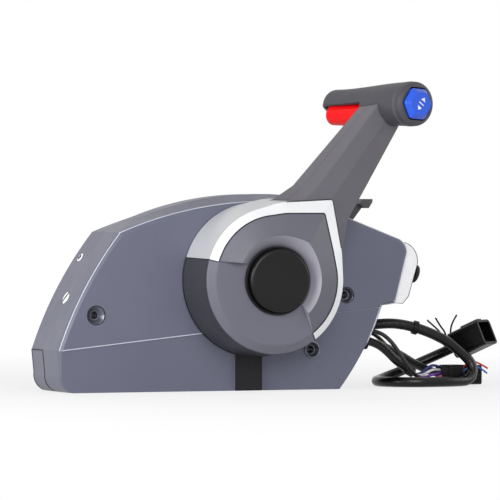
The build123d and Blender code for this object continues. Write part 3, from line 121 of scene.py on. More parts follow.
class LeverWiring(bpy.types.PropertyGroup):
    sheath: colour_property("Sheath", "Outer sheath of the loom", (6, 6, 7))
    loom_radius: length_property("Loom radius", "Half the main loom's thickness", 0.0045)
    lead_radius: length_property("Lead radius", "Half a branch lead's thickness", 0.0036)
    thin_radius: length_property("Thin lead radius", "Half a thin lead's thickness", 0.0018)
    wire_radius: length_property("Wire radius", "Half a single wire's thickness", 0.0012)
    loose_radius: length_property("Loose wire radius", "Half a loose wire's thickness", 0.0008)
    pink: colour_property("Pink wire", "Insulation colour", (214, 96, 158))
    violet: colour_property("Violet wire", "Insulation colour", (104, 62, 148))
    navy: colour_property("Dark blue wire", "Insulation colour", (44, 48, 110))
    white: colour_property("White wire", "Insulation colour", (222, 220, 224))
    hot: colour_property("Red wire", "Insulation colour", (206, 44, 44))
    signal: colour_property("Blue wire", "Insulation colour", (52, 108, 190))
    pins: IntProperty(name="Pins", description="Pins across the engine plug's socket", default=4, min=1)


class LeverStage(bpy.types.PropertyGroup):
    floor: colour_property("Floor", "Floor colour", (238, 238, 240))
    key: FloatProperty(name="Key light", description="Power of the main light", default=34.0,
                       min=0.0, unit="POWER")
    fill: FloatProperty(name="Fill", description="Strength of the light from all round",
                        default=0.24, min=0.0)
    whiteness: FloatProperty(name="Floor whiteness", description="How far the floor fades to white",
                             default=0.72, min=0.0, max=1.0)
    distance: length_property("Camera distance", "From the object's middle to the camera", 4.6)
    view_width: length_property("View width", "Width that the camera sees", 0.4328)


class LeverControl(bpy.types.PropertyGroup):
    plastics: PointerProperty(type=LeverPlastics)
    metals: PointerProperty(type=LeverMetals)
    wiring: PointerProperty(type=LeverWiring)
    stage: PointerProperty(type=LeverStage)


# ---- Materials ----

# How fine each noise is, in cells a metre.
DRIFT_CELLS = 14.0
SMUDGE_CELLS = 38.0
RUB_CELLS = 90.0
FLAKE_CELLS = 2600.0
HAZE_CELLS = 30.0
PAINT_CELLS = 1500.0
TOOL_MARK_CELLS = 700.0
BLOOM_CELLS = 110.0
SHEEN_CELLS = 160.0
CREASE_CELLS = 420.0
PAPER_CELLS = 3.0
# Shares of a material's own colour.
DRIFT_TONES = (0.955, 1.04)
SPECK_TONE = 0.86
# Paler sharp edges: partly wear, partly a painted highlight.
WORN_AND_LIT_EDGE_TONE = 1.45
FLAKE_TONES = (0.93, 1.05)
TOOL_MARK_TONES = (0.85, 1.06)
BLOOM_TONES = (0.9, 1.5)
# Depths and radii, in metres.
PAINT_DEPTH = 0.000006
CREASE_DEPTH = 0.00022
METAL_EDGE = 0.0003


def fresh_material(name):
    material = bpy.data.materials.new(name)
    material.use_nodes = True
    nodes = material.node_tree.nodes
    return material, nodes, material.node_tree.links, nodes["Principled BSDF"]


def object_noise(nodes, links, scale, detail=2.0, rough=0.5):
    """Noise on the piece's own coordinates; scale is in cells a metre."""
    where = nodes.new("ShaderNodeTexCoord")
    noise = nodes.new("ShaderNodeTexNoise")
    noise.inputs["Scale"].default_value = scale
    noise.inputs["Detail"].default_value = detail
    noise.inputs["Roughness"].default_value = rough
    links.new(where.outputs["Object"], noise.inputs["Vector"])
    return noise.outputs["Fac"]


def mapped(nodes, links, source, low, high, start=0.3, end=0.7):
    spread = nodes.new("ShaderNodeMapRange")
    spread.inputs["From Min"].default_value = start
    spread.inputs["From Max"].default_value = end
    spread.inputs["To Min"].default_value = low
    spread.inputs["To Max"].default_value = high
    links.new(source, spread.inputs["Value"])
    return spread.outputs["Result"]


def scaled_colour(colour, factor):
    return (*(min(1.0, channel * factor) for channel in colour), 1.0)


def mixed(nodes, links, factor, first, second):
    """A colour mix. first and second are colours or sockets."""
    mix = nodes.new("ShaderNodeMix")
    mix.data_type = "RGBA"
    sockets = [socket for socket in mix.inputs if socket.type == "RGBA"]
    for socket, value in zip(sockets, (first, second)):
        if isinstance(value, bpy.types.NodeSocket):
            links.new(value, socket)
        else:
            socket.default_value = value
    links.new(factor, mix.inputs[0])
    return [socket for socket in mix.outputs if socket.type == "RGBA"][0]


def rounded_edges(nodes, links, radius):
    """A softened normal, and a mask that is 1 on sharp edges."""
    bevel = nodes.new("ShaderNodeBevel")
    bevel.samples = 6
    bevel.inputs["Radius"].default_value = radius
    surface = nodes.new("ShaderNodeNewGeometry")
    match = nodes.new("ShaderNodeVectorMath")
    match.operation = "DOT_PRODUCT"
    links.new(bevel.outputs["Normal"], match.inputs[0])
    links.new(surface.outputs["Normal"], match.inputs[1])
    mask = mapped(nodes, links, match.outputs["Value"], 1.0, 0.0, 0.80, 0.995)
    return bevel.outputs["Normal"], mask


def grained_bump(nodes, links, normal, scale, depth):
    bump = nodes.new("ShaderNodeBump")
    bump.inputs["Strength"].default_value = 1.0
    bump.inputs["Distance"].default_value = depth
    links.new(object_noise(nodes, links, scale, 3.0, 0.6), bump.inputs["Height"])
    if normal is not None:
        links.new(normal, bump.inputs["Normal"])
    return bump.outputs["Normal"]


def facing_along_y(nodes, links, start, end):
    """1 where the piece faces along its Y axis, 0 on its sides."""
    where, axes = nodes.new("ShaderNodeTexCoord"), nodes.new("ShaderNodeSeparateXYZ")
    size = nodes.new("ShaderNodeMath")
    size.operation = "ABSOLUTE"
    links.new(where.outputs["Normal"], axes.inputs[0])
    links.new(axes.outputs["Y"], size.inputs[0])
    return mapped(nodes, links, size.outputs[0], 0.0, 1.0, start, end)


def moulded(name, colour, roughness=0.42, edge_wear_and_highlight=0.5, grain=None, grain_depth=None, coat=0.0,
            skirt=None, shine=0.35, steep=(0.3, 0.7), edge=None):
    """Injection-moulded plastic: fine spark grain, faint colour drift, and paler sharp edges that are
    partly wear and partly a painted highlight.
    """
    sizes = settings().plastics
    grain = grain or sizes.grain
    depth = sizes.grain_depth if grain_depth is None else grain_depth
    material, nodes, links, shader = fresh_material(name)
    drift = mapped(nodes, links, object_noise(nodes, links, DRIFT_CELLS, 4.0), 0.0, 1.0)
    base = mixed(nodes, links, drift, *(scaled_colour(colour, tone) for tone in DRIFT_TONES))
    speck = mapped(nodes, links, object_noise(nodes, links, 0.7 / grain, 1.0), 0.0, 0.32, 0.55, 0.8)
    base = mixed(nodes, links, speck, base, scaled_colour(colour, SPECK_TONE))
    # The skirt colour goes on the piece's steep sides: the hub's darker side wall, and on the fairing the
    # dish's painted light.
    if skirt is not None:
        base = mixed(nodes, links, facing_along_y(nodes, links, *steep), scaled_colour(skirt, 1.0), base)
    normal, ridge = rounded_edges(nodes, links, edge or sizes.edge)
    # Paler sharp edges in patches: partly wear, partly a painted highlight where the edges catch light.
    worn_and_lit_edges = nodes.new("ShaderNodeMath")
    worn_and_lit_edges.operation = "MULTIPLY"
    links.new(ridge, worn_and_lit_edges.inputs[0])
    patches = object_noise(nodes, links, RUB_CELLS, 3.0)
    links.new(mapped(nodes, links, patches, 0.1 * edge_wear_and_highlight, edge_wear_and_highlight, 0.4, 0.65), worn_and_lit_edges.inputs[1])
    base = mixed(nodes, links, worn_and_lit_edges.outputs[0], base, scaled_colour(colour, WORN_AND_LIT_EDGE_TONE))
    links.new(base, shader.inputs["Base Color"])
    smudge = object_noise(nodes, links, SMUDGE_CELLS, 5.0, 0.65)
    links.new(mapped(nodes, links, smudge, roughness - 0.05, roughness + 0.08),
              shader.inputs["Roughness"])
    links.new(grained_bump(nodes, links, normal, 1.0 / grain, depth), shader.inputs["Normal"])
    shader.inputs["Specular IOR Level"].default_value = shine
    if coat:
        shader.inputs["Coat Weight"].default_value = coat
        shader.inputs["Coat Roughness"].default_value = 0.12
    return material


def painted(name, colour, roughness, metallic, side=None):
    """Silver paint over plastic: fine flake, faint haze, soft edges, and where side is given a painted
    shade on the walls that face sideways.
    """
    material, nodes, links, shader = fresh_material(name)
    flake = mapped(nodes, links, object_noise(nodes, links, FLAKE_CELLS, 1.0), 0.0, 1.0, 0.35, 0.65)
    base = mixed(nodes, links, flake, *(scaled_colour(colour, tone) for tone in FLAKE_TONES))
    # Painted shade: the side colour darkens the walls that face sideways.
    if side is not None:
        base = mixed(nodes, links, facing_along_y(nodes, links, 0.3, 0.6), scaled_colour(side, 1.0), base)
    links.new(base, shader.inputs["Base Color"])
    shader.inputs["Metallic"].default_value = metallic
    haze = object_noise(nodes, links, HAZE_CELLS, 4.0, 0.6)
    links.new(mapped(nodes, links, haze, roughness - 0.04, roughness + 0.07), shader.inputs["Roughness"])
    normal, _ = rounded_edges(nodes, links, settings().plastics.edge * 0.7)
    links.new(grained_bump(nodes, links, normal, PAINT_CELLS, PAINT_DEPTH), shader.inputs["Normal"])
    return material


def machined(name, colour, roughness=0.3, stretch=(1.0, 1.0, 1.0), pits=0.00002):
    """Bare or plated metal with fine tool marks drawn out along one direction."""
    material, nodes, links, shader = fresh_material(name)
    where = nodes.new("ShaderNodeTexCoord")
    along = nodes.new("ShaderNodeMapping")
    along.inputs["Scale"].default_value = stretch
    marks = nodes.new("ShaderNodeTexNoise")
    marks.inputs["Scale"].default_value = TOOL_MARK_CELLS
    marks.inputs["Detail"].default_value = 4.0
    links.new(where.outputs["Object"], along.inputs["Vector"])
    links.new(along.outputs["Vector"], marks.inputs["Vector"])
    tone = mapped(nodes, links, marks.outputs["Fac"], 0.0, 1.0)
    links.new(mixed(nodes, links, tone, *(scaled_colour(colour, share) for share in TOOL_MARK_TONES)),
              shader.inputs["Base Color"])
    shader.inputs["Metallic"].default_value = 1.0
    links.new(mapped(nodes, links, marks.outputs["Fac"], roughness - 0.08, roughness + 0.12),
              shader.inputs["Roughness"])
    bump = nodes.new("ShaderNodeBump")
    bump.inputs["Distance"].default_value = pits
    links.new(marks.outputs["Fac"], bump.inputs["Height"])
    normal, _ = rounded_edges(nodes, links, METAL_EDGE)
    links.new(normal, bump.inputs["Normal"])
    links.new(bump.outputs["Normal"], shader.inputs["Normal"])
    return material


def soft_sheath(name, colour, roughness=0.3):
    """PVC or rubber over wires: dusty bloom, creases and a soft sheen."""
    material, nodes, links, shader = fresh_material(name)
    dust = object_noise(nodes, links, BLOOM_CELLS, 4.0, 0.6)
    bloom = mapped(nodes, links, dust, 0.0, 0.5, 0.45, 0.75)
    links.new(mixed(nodes, links, bloom, *(scaled_colour(colour, tone) for tone in BLOOM_TONES)),
              shader.inputs["Base Color"])
    sheen = object_noise(nodes, links, SHEEN_CELLS, 3.0)
    links.new(mapped(nodes, links, sheen, roughness - 0.08, roughness + 0.16),
              shader.inputs["Roughness"])
    links.new(grained_bump(nodes, links, None, CREASE_CELLS, CREASE_DEPTH), shader.inputs["Normal"])
    shader.inputs["Specular IOR Level"].default_value = 0.3
    return material


def dress(node_names, material):
    """Gives CAD nodes a material."""
    for name in node_names:
        slots = frame["nodes"][name].data.materials
        slots.clear()
        slots.append(material)


# ---- Meshes ----

def linked(name, data):
    piece = bpy.data.objects.new(name, data)
    bpy.context.scene.collection.objects.link(piece)
    return piece


def slab_mesh(name, outlines, thickness, place, material, bevel):
    """Flat outlines in X and Y, raised along Z, with softened edges, put at place."""
    mesh = bpy.data.meshes.new(name)
    points, faces = [], []
    for outline in outlines:
        first, count = len(points), len(outline)
        points += [(x, y, 0.0) for x, y in outline] + [(x, y, thickness) for x, y in outline]
        faces.append(list(range(first + count - 1, first - 1, -1)))
        faces.append(list(range(first + count, first + 2 * count)))
        faces += [[first + i, first + (i + 1) % count, first + count + (i + 1) % count,
                   first + count + i] for i in range(count)]
    mesh.from_pydata(points, [], faces)
    piece = linked(name, mesh)
    soften = piece.modifiers.new("soften", "BEVEL")
    soften.width = bevel
    soften.segments = 2
    return flattened(piece, place, material)


def flattened(piece, place, material):
    """Applies a piece's modifiers, puts its place in its mesh and gives it a material."""
    graph = bpy.context.evaluated_depsgraph_get()
    mesh = bpy.data.meshes.new_from_object(piece.evaluated_get(graph))
    piece.modifiers.clear()
    piece.data = mesh
    mesh.transform(place)
    mesh.materials.clear()
    mesh.materials.append(material)
    return piece


def instancer(name, inputs, points_node, point_inputs, shape_node, shape_inputs, turning):
    """A node tree that sets one shape on each of some points, realised, with a material."""
    tree = bpy.data.node_groups.new(name, "GeometryNodeTree")
    tree.interface.new_socket("Geometry", in_out="OUTPUT", socket_type="NodeSocketGeometry")
    for title, kind in inputs:
        tree.interface.new_socket(title, in_out="INPUT", socket_type=kind)
    nodes, links = tree.nodes, tree.links
    source, sink = nodes.new("NodeGroupInput"), nodes.new("NodeGroupOutput")
    points, shape = nodes.new(points_node), nodes.new(shape_node)
    for title, socket in point_inputs.items():
        links.new(source.outputs[title], points.inputs[socket])
    for title, socket in shape_inputs.items():
        links.new(source.outputs[title], shape.inputs[socket])
    spread = nodes.new("GeometryNodeInstanceOnPoints")
    links.new(points.outputs[0], spread.inputs["Points"])
    links.new(shape.outputs["Mesh"], spread.inputs["Instance"])
    if turning:
        index = nodes.new("GeometryNodeInputIndex")
        step = nodes.new("ShaderNodeMath")
        step.operation = "DIVIDE"
        step.inputs[0].default_value = 2.0 * math.pi
        links.new(source.outputs["Count"], step.inputs[1])
        turn = nodes.new("ShaderNodeMath")
        turn.operation = "MULTIPLY"
        links.new(index.outputs[0], turn.inputs[0])
        links.new(step.outputs[0], turn.inputs[1])
        axes = nodes.new("ShaderNodeCombineXYZ")
        links.new(turn.outputs[0], axes.inputs["Z"])
        links.new(axes.outputs[0], spread.inputs["Rotation"])
    solid = nodes.new("GeometryNodeRealizeInstances")
    finish = nodes.new("GeometryNodeSetMaterial")
    links.new(spread.outputs[0], solid.inputs[0])
    links.new(solid.outputs[0], finish.inputs["Geometry"])
    links.new(source.outputs["Material"], finish.inputs["Material"])
    links.new(finish.outputs[0], sink.inputs[0])
    return tree


def ring_tree():
    """Ribs that stand round a circle."""
    inputs = [("Count", "NodeSocketInt"), ("Radius", "NodeSocketFloat"),
              ("Rib", "NodeSocketVector"), ("Material", "NodeSocketMaterial")]
    return instancer("ring_of_ribs", inputs, "GeometryNodeMeshCircle",
                     {"Count": "Vertices", "Radius": "Radius"}, "GeometryNodeMeshCube",
                     {"Rib": "Size"}, True)


def grid_tree():
    """Pins that stand in rows."""
    inputs = [("Across", "NodeSocketInt"), ("Rows", "NodeSocketInt"),
              ("Width", "NodeSocketFloat"), ("Height", "NodeSocketFloat"),
              ("Pin", "NodeSocketVector"), ("Material", "NodeSocketMaterial")]
    return instancer("rows_of_pins", inputs, "GeometryNodeMeshGrid",
                     {"Across": "Vertices X", "Rows": "Vertices Y", "Width": "Size X",
                      "Height": "Size Y"}, "GeometryNodeMeshCube", {"Pin": "Size"}, False)


MERGE_GAP = 0.00002
BEAD_SIDES = 6


def bead_tree():
    """Round beads along the sharp edges that lie between two corners of a box."""
    tree = bpy.data.node_groups.new("edge_beads", "GeometryNodeTree")
    tree.interface.new_socket("Geometry", in_out="OUTPUT", socket_type="NodeSocketGeometry")
    for title, kind in (("Geometry", "NodeSocketGeometry"), ("Sharpness", "NodeSocketFloat"),
                        ("Low", "NodeSocketVector"), ("High", "NodeSocketVector"),
                        ("Radius", "NodeSocketFloat"), ("Material", "NodeSocketMaterial")):
        tree.interface.new_socket(title, in_out="INPUT", socket_type=kind)
    nodes, links = tree.nodes, tree.links
    source, sink = nodes.new("NodeGroupInput"), nodes.new("NodeGroupOutput")
    whole = nodes.new("GeometryNodeMergeByDistance")
    whole.inputs["Distance"].default_value = MERGE_GAP
    links.new(source.outputs["Geometry"], whole.inputs["Geometry"])
    angle, place = nodes.new("GeometryNodeInputMeshEdgeAngle"), nodes.new("GeometryNodeInputPosition")
    sharp, above, below = (nodes.new("FunctionNodeCompare") for _ in range(3))
    sharp.operation = "GREATER_THAN"
    links.new(angle.outputs["Unsigned Angle"], sharp.inputs["A"])
    links.new(source.outputs["Sharpness"], sharp.inputs["B"])
    for node, operation, corner in ((above, "GREATER_THAN", "Low"), (below, "LESS_THAN", "High")):
        node.data_type = "VECTOR"
        node.mode = "ELEMENT"
        node.operation = operation
        vectors = [socket for socket in node.inputs if socket.type == "VECTOR"]
        links.new(place.outputs["Position"], vectors[0])
        links.new(source.outputs[corner], vectors[1])
    chosen = sharp.outputs["Result"]
    for node in (above, below):
        both = nodes.new("FunctionNodeBooleanMath")
        both.operation = "AND"
        links.new(chosen, both.inputs[0])
        links.new(node.outputs["Result"], both.inputs[1])
        chosen = both.outputs[0]
    line, ring = nodes.new("GeometryNodeMeshToCurve"), nodes.new("GeometryNodeCurvePrimitiveCircle")
    ring.inputs["Resolution"].default_value = BEAD_SIDES
    links.new(source.outputs["Radius"], ring.inputs["Radius"])
    links.new(whole.outputs["Geometry"], line.inputs["Mesh"])
    links.new(chosen, line.inputs["Selection"])
    bead, solid = nodes.new("GeometryNodeCurveToMesh"), nodes.new("GeometryNodeRealizeInstances")
    finish = nodes.new("GeometryNodeSetMaterial")
    bead.inputs["Fill Caps"].default_value = True
    links.new(line.outputs["Curve"], bead.inputs["Curve"])
    links.new(ring.outputs["Curve"], bead.inputs["Profile Curve"])
    links.new(bead.outputs["Mesh"], solid.inputs[0])
    links.new(solid.outputs[0], finish.inputs["Geometry"])
    links.new(source.outputs["Material"], finish.inputs["Material"])
    links.new(finish.outputs["Geometry"], sink.inputs[0])
    return tree


def turned(name, outline, place, material, count=56):
    """A closed outline of radius and height, anticlockwise, turned round Z and put at place."""
    points, faces, rows = [], [], len(outline)
    for index in range(count):
        angle = 2 * math.pi * index / count
        points += [(radius * math.cos(angle), radius * math.sin(angle), height)
                   for radius, height in outline]
    for index in range(count):
        a, b = rows * index, rows * ((index + 1) % count)
        faces += [(a + k, b + k, b + (k + 1) % rows, a + (k + 1) % rows) for k in range(rows)]
    mesh = bpy.data.meshes.new(name)
    mesh.from_pydata(points, [], faces)
    mesh.transform(place)
    mesh.materials.append(material)
    return linked(name, mesh)


def grown(name, tree, values, place, material, base=None):
    """A plain mesh made by a node tree with these values, from a base mesh where there is one."""
    piece = linked(name, base.copy() if base else bpy.data.meshes.new(name))
    growth = piece.modifiers.new("growth", "NODES")
    growth.node_group = tree
    for item in tree.interface.items_tree:
        if item.in_out == "INPUT" and item.name != "Geometry":
            growth[item.identifier] = material if item.name == "Material" else values[item.name]
    return flattened(piece, place, material)


def aimed(origin, forward, side):
    """A frame with Z along forward and X near side, as a matrix."""
    z = Vector(forward).normalized()
    y = z.cross(Vector(side)).normalized()
    x = y.cross(z)
    turn = Matrix((x, y, z)).transposed().to_4x4()
    return Matrix.Translation(Vector(origin)) @ turn


def joint_named(name):
    return next(joint for joint in frame["joints"] if joint["name"] == name)


# ---- Cords: the routes of the CAD tubes, in metres ----

LOOM_ROUTE = (
    (0.119, 0.002, 0.0535), (0.132, 0.001, 0.055), (0.148, -0.002, 0.0555), (0.165, -0.005, 0.052),
    (0.181, -0.008, 0.046), (0.196, -0.0095, 0.0385), (0.207, -0.011, 0.0295), (0.216, -0.013, 0.0205),
    (0.2163, -0.0165, 0.0112), (0.2095, -0.0205, 0.005), (0.198, -0.025, 0.0046),
    (0.186, -0.0285, 0.0046), (0.1738, -0.0298, 0.0046), (0.1599, -0.030, 0.0046),
    (0.1471, -0.0247, 0.0046), (0.1378, -0.0145, 0.0046), (0.1336, -0.0013, 0.0046),
    (0.1354, 0.0124, 0.0046), (0.1429, 0.0241, 0.005), (0.1542, 0.0316, 0.0075),
    (0.1685, 0.0338, 0.012), (0.1825, 0.034, 0.0175), (0.1963, 0.0315, 0.0235),
    (0.208, 0.0258, 0.0293), (0.2155, 0.0165, 0.0345),
)
SWITCH_ROUTE = (
    (0.119, -0.0045, 0.041), (0.129, -0.0053, 0.038), (0.138, -0.0068, 0.031),
    (0.146, -0.0083, 0.0225), (0.155, -0.0095, 0.016),
)
TRIM_ROUTE = (
    (0.119, 0.0075, 0.041), (0.132, 0.009, 0.0385), (0.146, 0.0115, 0.0335), (0.160, 0.014, 0.027),
    (0.173, 0.0155, 0.0195), (0.187, 0.016, 0.013), (0.200, 0.0155, 0.0095), (0.212, 0.0145, 0.0085),
)
BOOT_LENGTH = 0.008
WIRE_START_SPREAD = 0.0019
WIRE_END_SPREAD = 0.0015
WIRE_RISE = 0.0026
WIRE_RUN = 0.006
WIRE_BOW = 0.008
WIRE_END = (0.189, -0.0065, 0.0128)
WIRE_LAST_RUN = (0.007, 0.0010, 0.0)
# Loose single wires: three black ones beside the engine plug, two coloured ones at the gauge plug.
LOOSE_WIRES = (
    ("black", ((0.2085, 0.0275, 0.0310), (0.2075, 0.0280, 0.0390), (0.2035, 0.0270, 0.0465),
               (0.1970, 0.0255, 0.0515), (0.1900, 0.0245, 0.0570))),
    ("black", ((0.2095, 0.0255, 0.0310), (0.2100, 0.0260, 0.0390), (0.2070, 0.0250, 0.0470),
               (0.2020, 0.0240, 0.0520), (0.1975, 0.0235, 0.0590))),
    ("black", ((0.2110, 0.0235, 0.0310), (0.2130, 0.0245, 0.0390), (0.2120, 0.0240, 0.0480),
               (0.2135, 0.0230, 0.0550), (0.2175, 0.0225, 0.0615))),
    ("red", ((0.2085, -0.0030, 0.0120), (0.2140, -0.0032, 0.0185), (0.2205, -0.0038, 0.0215),
             (0.2275, -0.0045, 0.0195), (0.2352, -0.0050, 0.0148))),
    ("blue", ((0.2085, -0.0010, 0.0090), (0.2145, -0.0012, 0.0140), (0.2210, -0.0022, 0.0175),
              (0.2280, -0.0035, 0.0160), (0.2348, -0.0045, 0.0105))),
)
# Thin leads beside the others: piece's name and route.
THIN_LEADS = (
    ("front_lead", ((0.119, -0.0080, 0.0500), (0.129, -0.0105, 0.0485), (0.138, -0.0140, 0.0410),
                    (0.1445, -0.0175, 0.0310), (0.150, -0.0200, 0.0205), (0.1575, -0.0212, 0.0115),
                    (0.167, -0.0205, 0.0052), (0.178, -0.0185, 0.0028), (0.189, -0.0175, 0.0026),
                    (0.1965, -0.0162, 0.0032), (0.2005, -0.0137, 0.0048), (0.2010, -0.0110, 0.0068))),
    ("rear_lead", ((0.119, 0.0105, 0.0500), (0.131, 0.0145, 0.0480), (0.143, 0.0190, 0.0410),
                   (0.1535, 0.0230, 0.0310), (0.163, 0.0250, 0.0205), (0.1735, 0.0250, 0.0115),
                   (0.185, 0.0240, 0.0052), (0.195, 0.0225, 0.0030), (0.2045, 0.0210, 0.0042),
                   (0.2130, 0.0206, 0.0060))),
)


def cord_curve(name, points, radius, material):
    """One smooth spline through a cord's route, as thick as the cord."""
    data = bpy.data.curves.new(name, "CURVE")
    data.dimensions = "3D"
    data.bevel_depth = radius
    data.bevel_resolution = 5
    data.resolution_u = 10
    data.use_fill_caps = True
    spline = data.splines.new("NURBS")
    spline.points.add(len(points) - 1)
    for point, place in zip(spline.points, points):
        point.co = (*place, 1.0)
    spline.order_u = 3
    spline.use_endpoint_u = True
    data.materials.append(material)
    return linked(name, data)


def wire_route(index, count):
    """A single wire's route from the boot's end to the gauge plug."""
    side = index - (count - 1) / 2
    end, before = Vector(SWITCH_ROUTE[-1]), Vector(SWITCH_ROUTE[-2])
    aim = (end - before).normalized()
    start = end + aim * BOOT_LENGTH + Vector((0, side * WIRE_START_SPREAD, 0))
    finish = Vector(WIRE_END) + Vector((0, side * WIRE_END_SPREAD, side * WIRE_RISE))
    bow = Vector((0, -WIRE_BOW, side * WIRE_RISE))
    return [start, start + aim * WIRE_RUN + bow / 2, (start + finish) / 2 + bow,
            finish - Vector(WIRE_LAST_RUN) + bow / 2, finish]


def spline_length(points):
    """Length of the smooth line that a route's spline makes."""
    probe = cord_curve("probe", points, 0.0, None)
    graph = bpy.context.evaluated_depsgraph_get()
    mesh = bpy.data.meshes.new_from_object(probe.evaluated_get(graph))
    length = sum((mesh.vertices[edge.vertices[0]].co - mesh.vertices[edge.vertices[1]].co).length
                 for edge in mesh.edges)
    bpy.data.objects.remove(probe)
    return length


# ---- Operators ----

class CONTROL_OT_stage(bpy.types.Operator):
    """Camera, floor, backdrop light and lamps"""
    bl_idname = "lever_control.stage"
    bl_label = "Set the stage"

    def execute(self, context):
        sizes = settings().stage
        add_camera(context, sizes)
        add_floor(sizes)
        add_world(context, sizes)
        add_lamps(sizes)
        context.scene.view_settings.view_transform = "Standard"
        return {"FINISHED"}


VIEW_AZIMUTH = math.radians(-21.7)
VIEW_ELEVATION = math.radians(0.8)
VIEW_ASIDE = 0.0109
VIEW_HEIGHT = 0.1203
SENSOR = 36.0


def view_direction():
    """From the object towards the camera."""
    return Vector((math.sin(VIEW_AZIMUTH) * math.cos(VIEW_ELEVATION),
                   -math.cos(VIEW_AZIMUTH) * math.cos(VIEW_ELEVATION), math.sin(VIEW_ELEVATION)))


def add_camera(context, sizes):
    data = bpy.data.cameras.new("camera")
    data.sensor_width = SENSOR
    data.lens = SENSOR * sizes.distance / sizes.view_width
    data.clip_end = 20.0
    camera = linked("camera", data)
    towards = view_direction()
    aside = Vector((math.cos(VIEW_AZIMUTH), math.sin(VIEW_AZIMUTH), 0.0))
    target = aside * VIEW_ASIDE + Vector((0, 0, VIEW_HEIGHT))
    camera.location = target + towards * sizes.distance
    camera.rotation_euler = (-towards).to_track_quat("-Z", "Y").to_euler()
    context.scene.camera = camera


def shows_background(nodes, links):
    """1 for the rays that should meet a plain white surround."""
    path = nodes.new("ShaderNodeLightPath")
    total = path.outputs["Is Camera Ray"]
    for ray in ("Is Glossy Ray", "Is Transmission Ray"):
        join = nodes.new("ShaderNodeMath")
        join.operation = "MAXIMUM"
        links.new(total, join.inputs[0])
        links.new(path.outputs[ray], join.inputs[1])
        total = join.outputs[0]
    return total


FLOOR_REACH = 6.0
# Distances from the origin between which the floor fades to white.
FADE_START, FADE_END = 0.22, 0.9


def add_floor(sizes):
    """A wide pale floor that keeps the object's shadow under a white surround."""
    mesh = bpy.data.meshes.new("floor")
    corners = [(x * FLOOR_REACH, y * FLOOR_REACH, 0) for x, y in ((-1, -1), (1, -1), (1, 1), (-1, 1))]
    mesh.from_pydata(corners, [], [(0, 1, 2, 3)])
    floor = linked("floor", mesh)
    material, nodes, links, shader = fresh_material("floor_paper")
    paper = mapped(nodes, links, object_noise(nodes, links, PAPER_CELLS), 0.0, 1.0)
    links.new(mixed(nodes, links, paper, scaled_colour(sizes.floor, 0.99), scaled_colour(sizes.floor, 1.0)),
              shader.inputs["Base Color"])
    shader.inputs["Roughness"].default_value = 0.6
    glow = nodes.new("ShaderNodeEmission")
    glow.inputs["Color"].default_value = (1, 1, 1, 1)
    blend = nodes.new("ShaderNodeMixShader")
    share = nodes.new("ShaderNodeMath")
    share.operation = "MULTIPLY"
    where, away = nodes.new("ShaderNodeTexCoord"), nodes.new("ShaderNodeVectorMath")
    away.operation = "LENGTH"
    links.new(where.outputs["Object"], away.inputs[0])
    links.new(mapped(nodes, links, away.outputs["Value"], sizes.whiteness, 1.0, FADE_START, FADE_END),
              share.inputs[1])
    links.new(shows_background(nodes, links), share.inputs[0])
    links.new(share.outputs[0], blend.inputs["Fac"])
    links.new(shader.outputs[0], blend.inputs[1])
    links.new(glow.outputs[0], blend.inputs[2])
    links.new(blend.outputs[0], nodes["Material Output"].inputs["Surface"])
    mesh.materials.append(material)


def add_world(context, sizes):
    world = bpy.data.worlds.new("surround")
    context.scene.world = world
    world.use_nodes = True
    nodes, links = world.node_tree.nodes, world.node_tree.links
    soft, white = nodes["Background"], nodes.new("ShaderNodeBackground")
    soft.inputs["Color"].default_value = (1, 1, 1, 1)
    soft.inputs["Strength"].default_value = sizes.fill
    white.inputs["Color"].default_value = (1, 1, 1, 1)
    blend = nodes.new("ShaderNodeMixShader")
    links.new(shows_background(nodes, links), blend.inputs["Fac"])
    links.new(soft.outputs[0], blend.inputs[1])
    links.new(white.outputs[0], blend.inputs[2])
    links.new(blend.outputs[0], nodes["World Output"].inputs["Surface"])


# Lamps: azimuth and elevation in degrees, distance and size in metres, share of the key light's power.
LAMPS = {
    "main_light": (-70.0, 14.0, 1.2, 0.7, 0.28),
    "front_light": (-12.0, 22.0, 2.4, 1.2, 0.84),
    "rear_light": (80.0, 20.0, 2.0, 1.0, 0.26),
}
LAMP_AIM_HEIGHT = 0.1


def add_lamps(sizes):
    """A near light low on the nose's side, and others in front and behind."""
    for name, (azimuth, elevation, distance, size, share) in LAMPS.items():
        data = bpy.data.lights.new(name, "AREA")
        data.size = size
        data.energy = sizes.key * share
        lamp = linked(name, data)
        a, e = math.radians(azimuth), math.radians(elevation)
        towards = Vector((math.sin(a) * math.cos(e), -math.cos(a) * math.cos(e), math.sin(e)))
        lamp.location = Vector((0, 0, LAMP_AIM_HEIGHT)) + towards * distance
        lamp.rotation_euler = (-towards).to_track_quat("-Z", "Y").to_euler()


class CONTROL_OT_case(bpy.types.Operator):
    """Finishes of the case, its covers and screws"""
    bl_idname = "lever_control.case"
    bl_label = "Finish the case"

    def execute(self, context):
        plastics, metals = settings().plastics, settings().metals
        case = moulded("case_plastic", plastics.case, 0.40)
        dress(("case_ring", "cable_exit_cover"), case)
        dress(("inboard_cover",), moulded("cover_plastic", plastics.cover, 0.40))
        dress(("back_plate",), moulded("back_plastic", plastics.case, 0.45))
        dress(("fast_idle_lever",), moulded("paddle_plastic", plastics.paddle, 0.45))
        dress(("trim_wire_cover",), moulded("strip_plastic", plastics.strip, 0.40, 0.3, shine=0.2))
        steel = machined("plated_steel", metals.steel, 0.28)
        dress(("case_screws", "frame_screws", "mounting_sleeves", "fast_idle_pin"), steel)
        dress(("friction_screw", "detent_screw"), painted("screw_plating", metals.panel, 0.3, 0.35))
        return {"FINISHED"}


